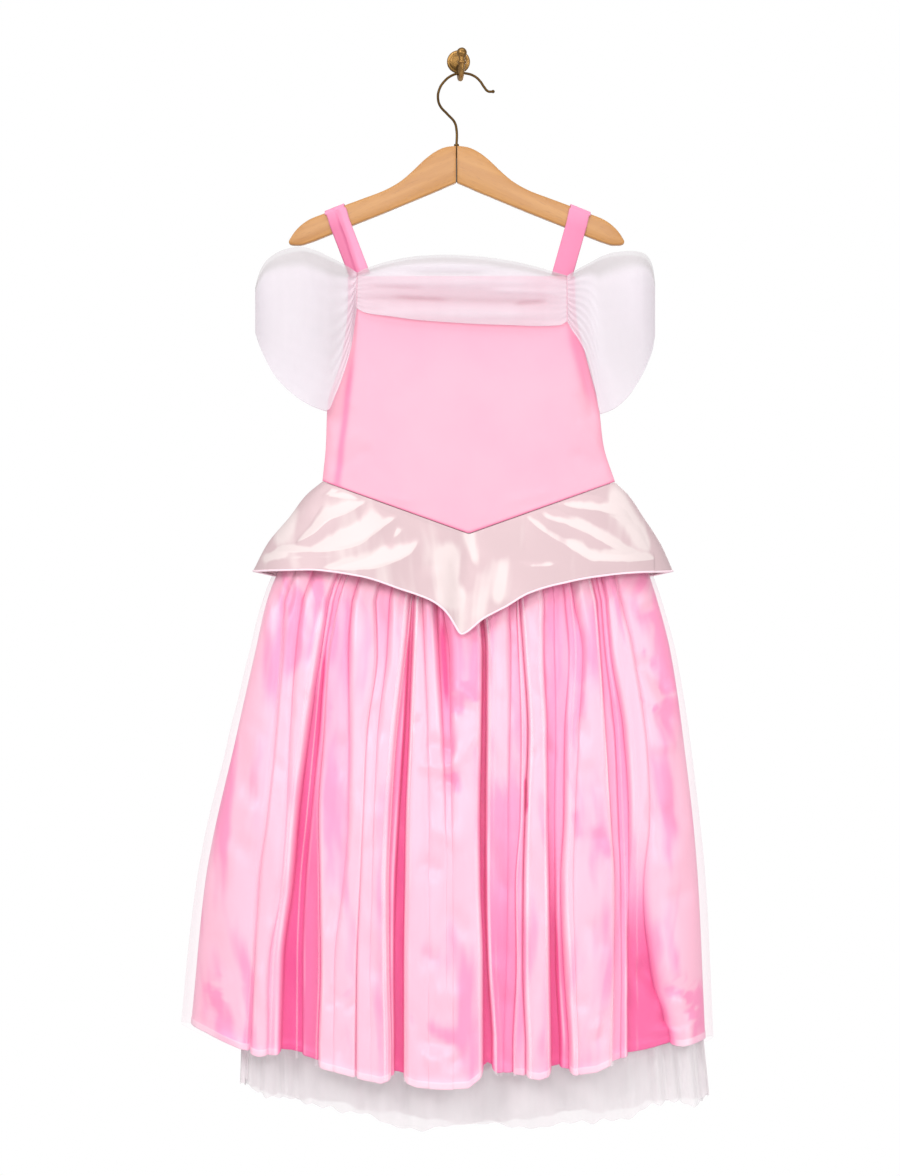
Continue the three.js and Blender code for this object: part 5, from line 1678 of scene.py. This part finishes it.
def sleeve_loop(name, shape, columns, row_count, seed):
    """Columns run from the seam in front, round the puff, to the seam behind."""
    rows = dict(shape, station=np.arange(len(shape["x"]), dtype=float))
    last = rows["station"][-1]
    loop = np.linspace(0, 2 * last, columns)
    station = np.where(loop <= last, loop, 2 * last - loop)
    at = rows_at(rows, "station", station)
    is_front = loop <= last
    fall = np.linspace(0, 1, row_count).reshape(-1, 1)
    round_arm = station / last
    phase = SLEEVE_GATHERS * fall + 0.35 * ripples(loop * 10, fall * 40, 60, 50, seed)
    near_seam = np.exp(-station / 1.7) * ease(station / 0.6)
    front = np.where(is_front, 1, -1)
    soft = ripples(loop * 14, fall * 70, 60, 48, seed + 2) * ease(station / 3) * (1 - round_arm**4)
    puff = 1.3 * near_seam * np.cos(2 * math.pi * phase) + 1.3 * soft
    middle = (at["front"] + at["back"]) / 2
    half = (at["front"] - at["back"]) / 2 * front
    y = middle + half - front * np.where(is_front, 1, 0.4) * puff
    x = np.broadcast_to(at["x"], y.shape)
    z = at["top"] + (at["bottom"] - at["top"]) * fall + 1.2 * soft * fall
    points = np.stack(np.broadcast_arrays(x, y, z), axis=2)
    veil = ease((0.16 - fall) / 0.12) * ease(station / 1.5)
    crowd = 0.36 + 0.14 * near_seam * (0.5 - 0.5 * np.cos(2 * math.pi * phase)) + 0.1 * soft - 0.34 * veil
    crowd = np.broadcast_to(crowd, z.shape)
    if shape["x"][0] < 0:
        points, crowd = points[:, ::-1], crowd[:, ::-1]
    return cloth_sheet(name, points, marks={"crowding": np.clip(crowd, 0, 1)})


puff_left = sleeve_loop("puff_left", SLEEVE_LEFT, 240, 90, 81)
puff_right = sleeve_loop("puff_right", SLEEVE_RIGHT, 240, 90, 87)
dress_piece(puff_left, white_net, "tulle", "sleeve_left")
dress_piece(puff_right, white_net, "tulle", "sleeve_right")

# %% [markdown]
# ## The shoulder straps
#
# Each strap is one length of pink satin ribbon from the front neck edge, over the hanger and
# down behind. It could be a curve with a flat profile. A sheet moved onto a path is used,
# because over the wood each of its columns can rest on the arm's own outline. STRAP_PATH gives
# how far down the ribbon is, how high it lies above the wood's edge and how deep it lies. The
# left strap is creased along its middle in front. Shade is painted into the ribbon's colour:
# in the crease, to the left of it, and over the whole front of the right strap.
# STRAP_CREASE_AND_SHADE gives where across the ribbon the crease is, how deep, and how much
# painted shade lies to its left.

# %% Straps
STRAP_WIDE = 21
NECK_EDGE_Z = -220.7
WOOD_FACE = HANGER_THICK / 2 + 0.3 + 1.5
STRAP_ENDS = {"ribbon_left": (-125.6, -99.5), "ribbon_right": (123.5, 104.5)}
STRAP_CREASE_AND_SHADE = {"ribbon_left": (0.02, 1.3, 0.46), "ribbon_right": (0.7, 0.0, 0.3)}
STRAP_PATH = table(
    "fall lift y",
    (1, 0, -27), (0.75, 0, -26.5), (0.5, 0, -25.8), (0.25, -1.8, HANGER_Y - WOOD_FACE),
    (0, -1.8, HANGER_Y - WOOD_FACE), (0, 1.2, HANGER_Y - WOOD_FACE * 0.88),
    (0, 2.4, HANGER_Y - WOOD_FACE * 0.5), (0, 2.6, HANGER_Y), (0, 2.4, HANGER_Y + WOOD_FACE * 0.5),
    (0, 1.2, HANGER_Y + WOOD_FACE * 0.88), (0, -1.8, HANGER_Y + WOOD_FACE),
    (0.35, -1.8, HANGER_Y + WOOD_FACE), (0.7, 0, -9.5), (1, 0, -9.8),
)


def wood_top(x):
    """The height of the hanger's upper edge at a place across."""
    return smooth_curve(ARM_OUTLINE["out"], ARM_OUTLINE["upper"], np.abs(x - HANGER_X))


def strap(name, columns=17, row_count=110):
    """One strap: its rows run from its end behind, over the wood, to its end in front."""
    top, foot = STRAP_ENDS[name]
    knots = np.arange(len(STRAP_PATH["fall"]), dtype=float)
    path = rows_at(dict(STRAP_PATH, knot=knots), "knot", np.linspace(0, knots[-1], row_count)[::-1])
    fall, lift, y = (path[key].reshape(-1, 1) for key in ("fall", "lift", "y"))
    share = np.linspace(-0.5, 0.5, columns)
    run_x = foot - top
    run_z = NECK_EDGE_Z - wood_top(np.array([top]))[0]
    long = math.hypot(run_x, run_z)
    side_x, side_z = -run_z / long, run_x / long
    x = top + run_x * fall + share * STRAP_WIDE * side_x
    over = wood_top(top + share * STRAP_WIDE * side_x) + lift
    hung = wood_top(np.array([top]))[0] + run_z * fall + share * STRAP_WIDE * side_z
    z = over * (1 - ease(fall / 0.2)) + hung * ease(fall / 0.2)
    in_front = ease((HANGER_Y - 3 - y) / 4) * ease((fall + 0.1) / 0.4)
    crease_at, deep, side_shade = STRAP_CREASE_AND_SHADE[name]
    crease_at = crease_at + 0.05 * np.sin(5 * fall)
    crease = deep * np.exp(-((share - crease_at) * STRAP_WIDE / 1.8) ** 2) * in_front
    curl = 0.5 * (2 * share) ** 2 * in_front
    points = np.stack(np.broadcast_arrays(x, y + crease + curl, z), axis=2)
    # Painted shade: darker in the crease, and on its left by the table's amount.
    shade = crease / 4 + side_shade * ease((crease_at - share) / 0.08) * in_front + 0.12
    shade = np.clip(np.broadcast_to(shade, z.shape), 0, 1)
    return cloth_sheet(name, points, thickness=1.1, marks={"painted_shade": shade})


ribbon_left = dress_piece(strap("ribbon_left"), ribbon_satin, "ribbon", "strap_left")
ribbon_right = dress_piece(strap("ribbon_right"), ribbon_satin, "ribbon", "strap_right")

# %% [markdown]
# ## What each sheet was cut to
#
# Every sheet says how big it was before it was sewn. These sizes are worked out from widths
# and heights read off the picture, with something added for folds, gathers, hems and seams.
# They don't come from the meshes, so the two can be compared: each line printed here says how
# much of its cut a mesh really holds. The back isn't seen, and is taken as cut like the front,
# but for the peplum, whose back is shallower. Each entry of CUTS has the cut's greatest width
# and height in metres, and its area where it isn't a plain rectangle.

# %% Cuts
SEEN_HEM, SEEN_WAIST, SEEN_FALL = 0.527, 0.315, 0.56
SLOTS, SLOT_INWARD, ROUND_THE_FRONT, WAIST_GATHERS = 5, 0.02, 1.04, 1.4
HEM_TURNED_UP, WAIST_SEAM = 0.02, 0.015
SKIRT_HEM_CUT = SEEN_HEM * ROUND_THE_FRONT + SLOTS * 2 * SLOT_INWARD
SKIRT_WAIST_CUT = SEEN_WAIST * WAIST_GATHERS
SKIRT_FALL_CUT = SEEN_FALL + HEM_TURNED_UP + WAIST_SEAM
CUTS = {
    "skirt": (SKIRT_HEM_CUT, SKIRT_FALL_CUT, (SKIRT_HEM_CUT + SKIRT_WAIST_CUT) / 2 * SKIRT_FALL_CUT),
    "petticoat": (0.55, 0.62, (0.55 + 0.38) / 2 * 0.62),
    "bodice": (0.32, 0.28, 0.265 * 0.207 + 0.297 * 0.053 / 2 + 0.01),
    "peplum_front": (0.46, 0.17, (0.315 + 0.45) / 2 * 0.1 + 0.006),
    "peplum_back": (0.44, 0.13, (0.315 + 0.43) / 2 * 0.085 + 0.006),
    "band": (0.22, 0.075, None),
    "sleeve": (0.19, 0.17, None),
    "strap": (0.024, 0.18, None),
}


def declare_cloth(piece, cut, layers=1):
    """States a sheet's cut. layers is 2 for a mesh with a face and a back."""
    wide, high, area = CUTS[cut]
    wide, high = round(wide, 3), round(high, 3)
    held_area = sum(face.area for face in piece.data.polygons) / layers
    held_share = round(100 * held_area / (area or wide * high))
    print(piece.name, "cut", wide, "by", high, "m, and its mesh holds", held_share, "% of that")
    area = area and round(area, 4)


declare_cloth(satin_front, "skirt", layers=2)
declare_cloth(satin_back, "skirt", layers=2)
declare_cloth(net_front, "skirt")
declare_cloth(net_back, "skirt")
declare_cloth(petticoat_front, "petticoat")
declare_cloth(petticoat_back, "petticoat")
declare_cloth(velour_front, "bodice", layers=2)
declare_cloth(velour_back, "bodice", layers=2)
declare_cloth(pearl_front, "peplum_front", layers=2)
declare_cloth(pearl_back, "peplum_back", layers=2)
declare_cloth(band_front, "band")
declare_cloth(band_back, "band")
declare_cloth(puff_left, "sleeve")
declare_cloth(puff_right, "sleeve")
declare_cloth(ribbon_left, "strap", layers=2)
declare_cloth(ribbon_right, "strap", layers=2)

# %% [markdown]
# ## Last steps
#
# The floor gets a pale dull paint.

# %% Floor paint
floor_paint, _, floor_shader = new_finish("pale_floor")
floor_shader.inputs["Base Color"].default_value = (0.86, 0.86, 0.87, 1)
floor_shader.inputs["Roughness"].default_value = 0.9
floor.data.materials.append(floor_paint)
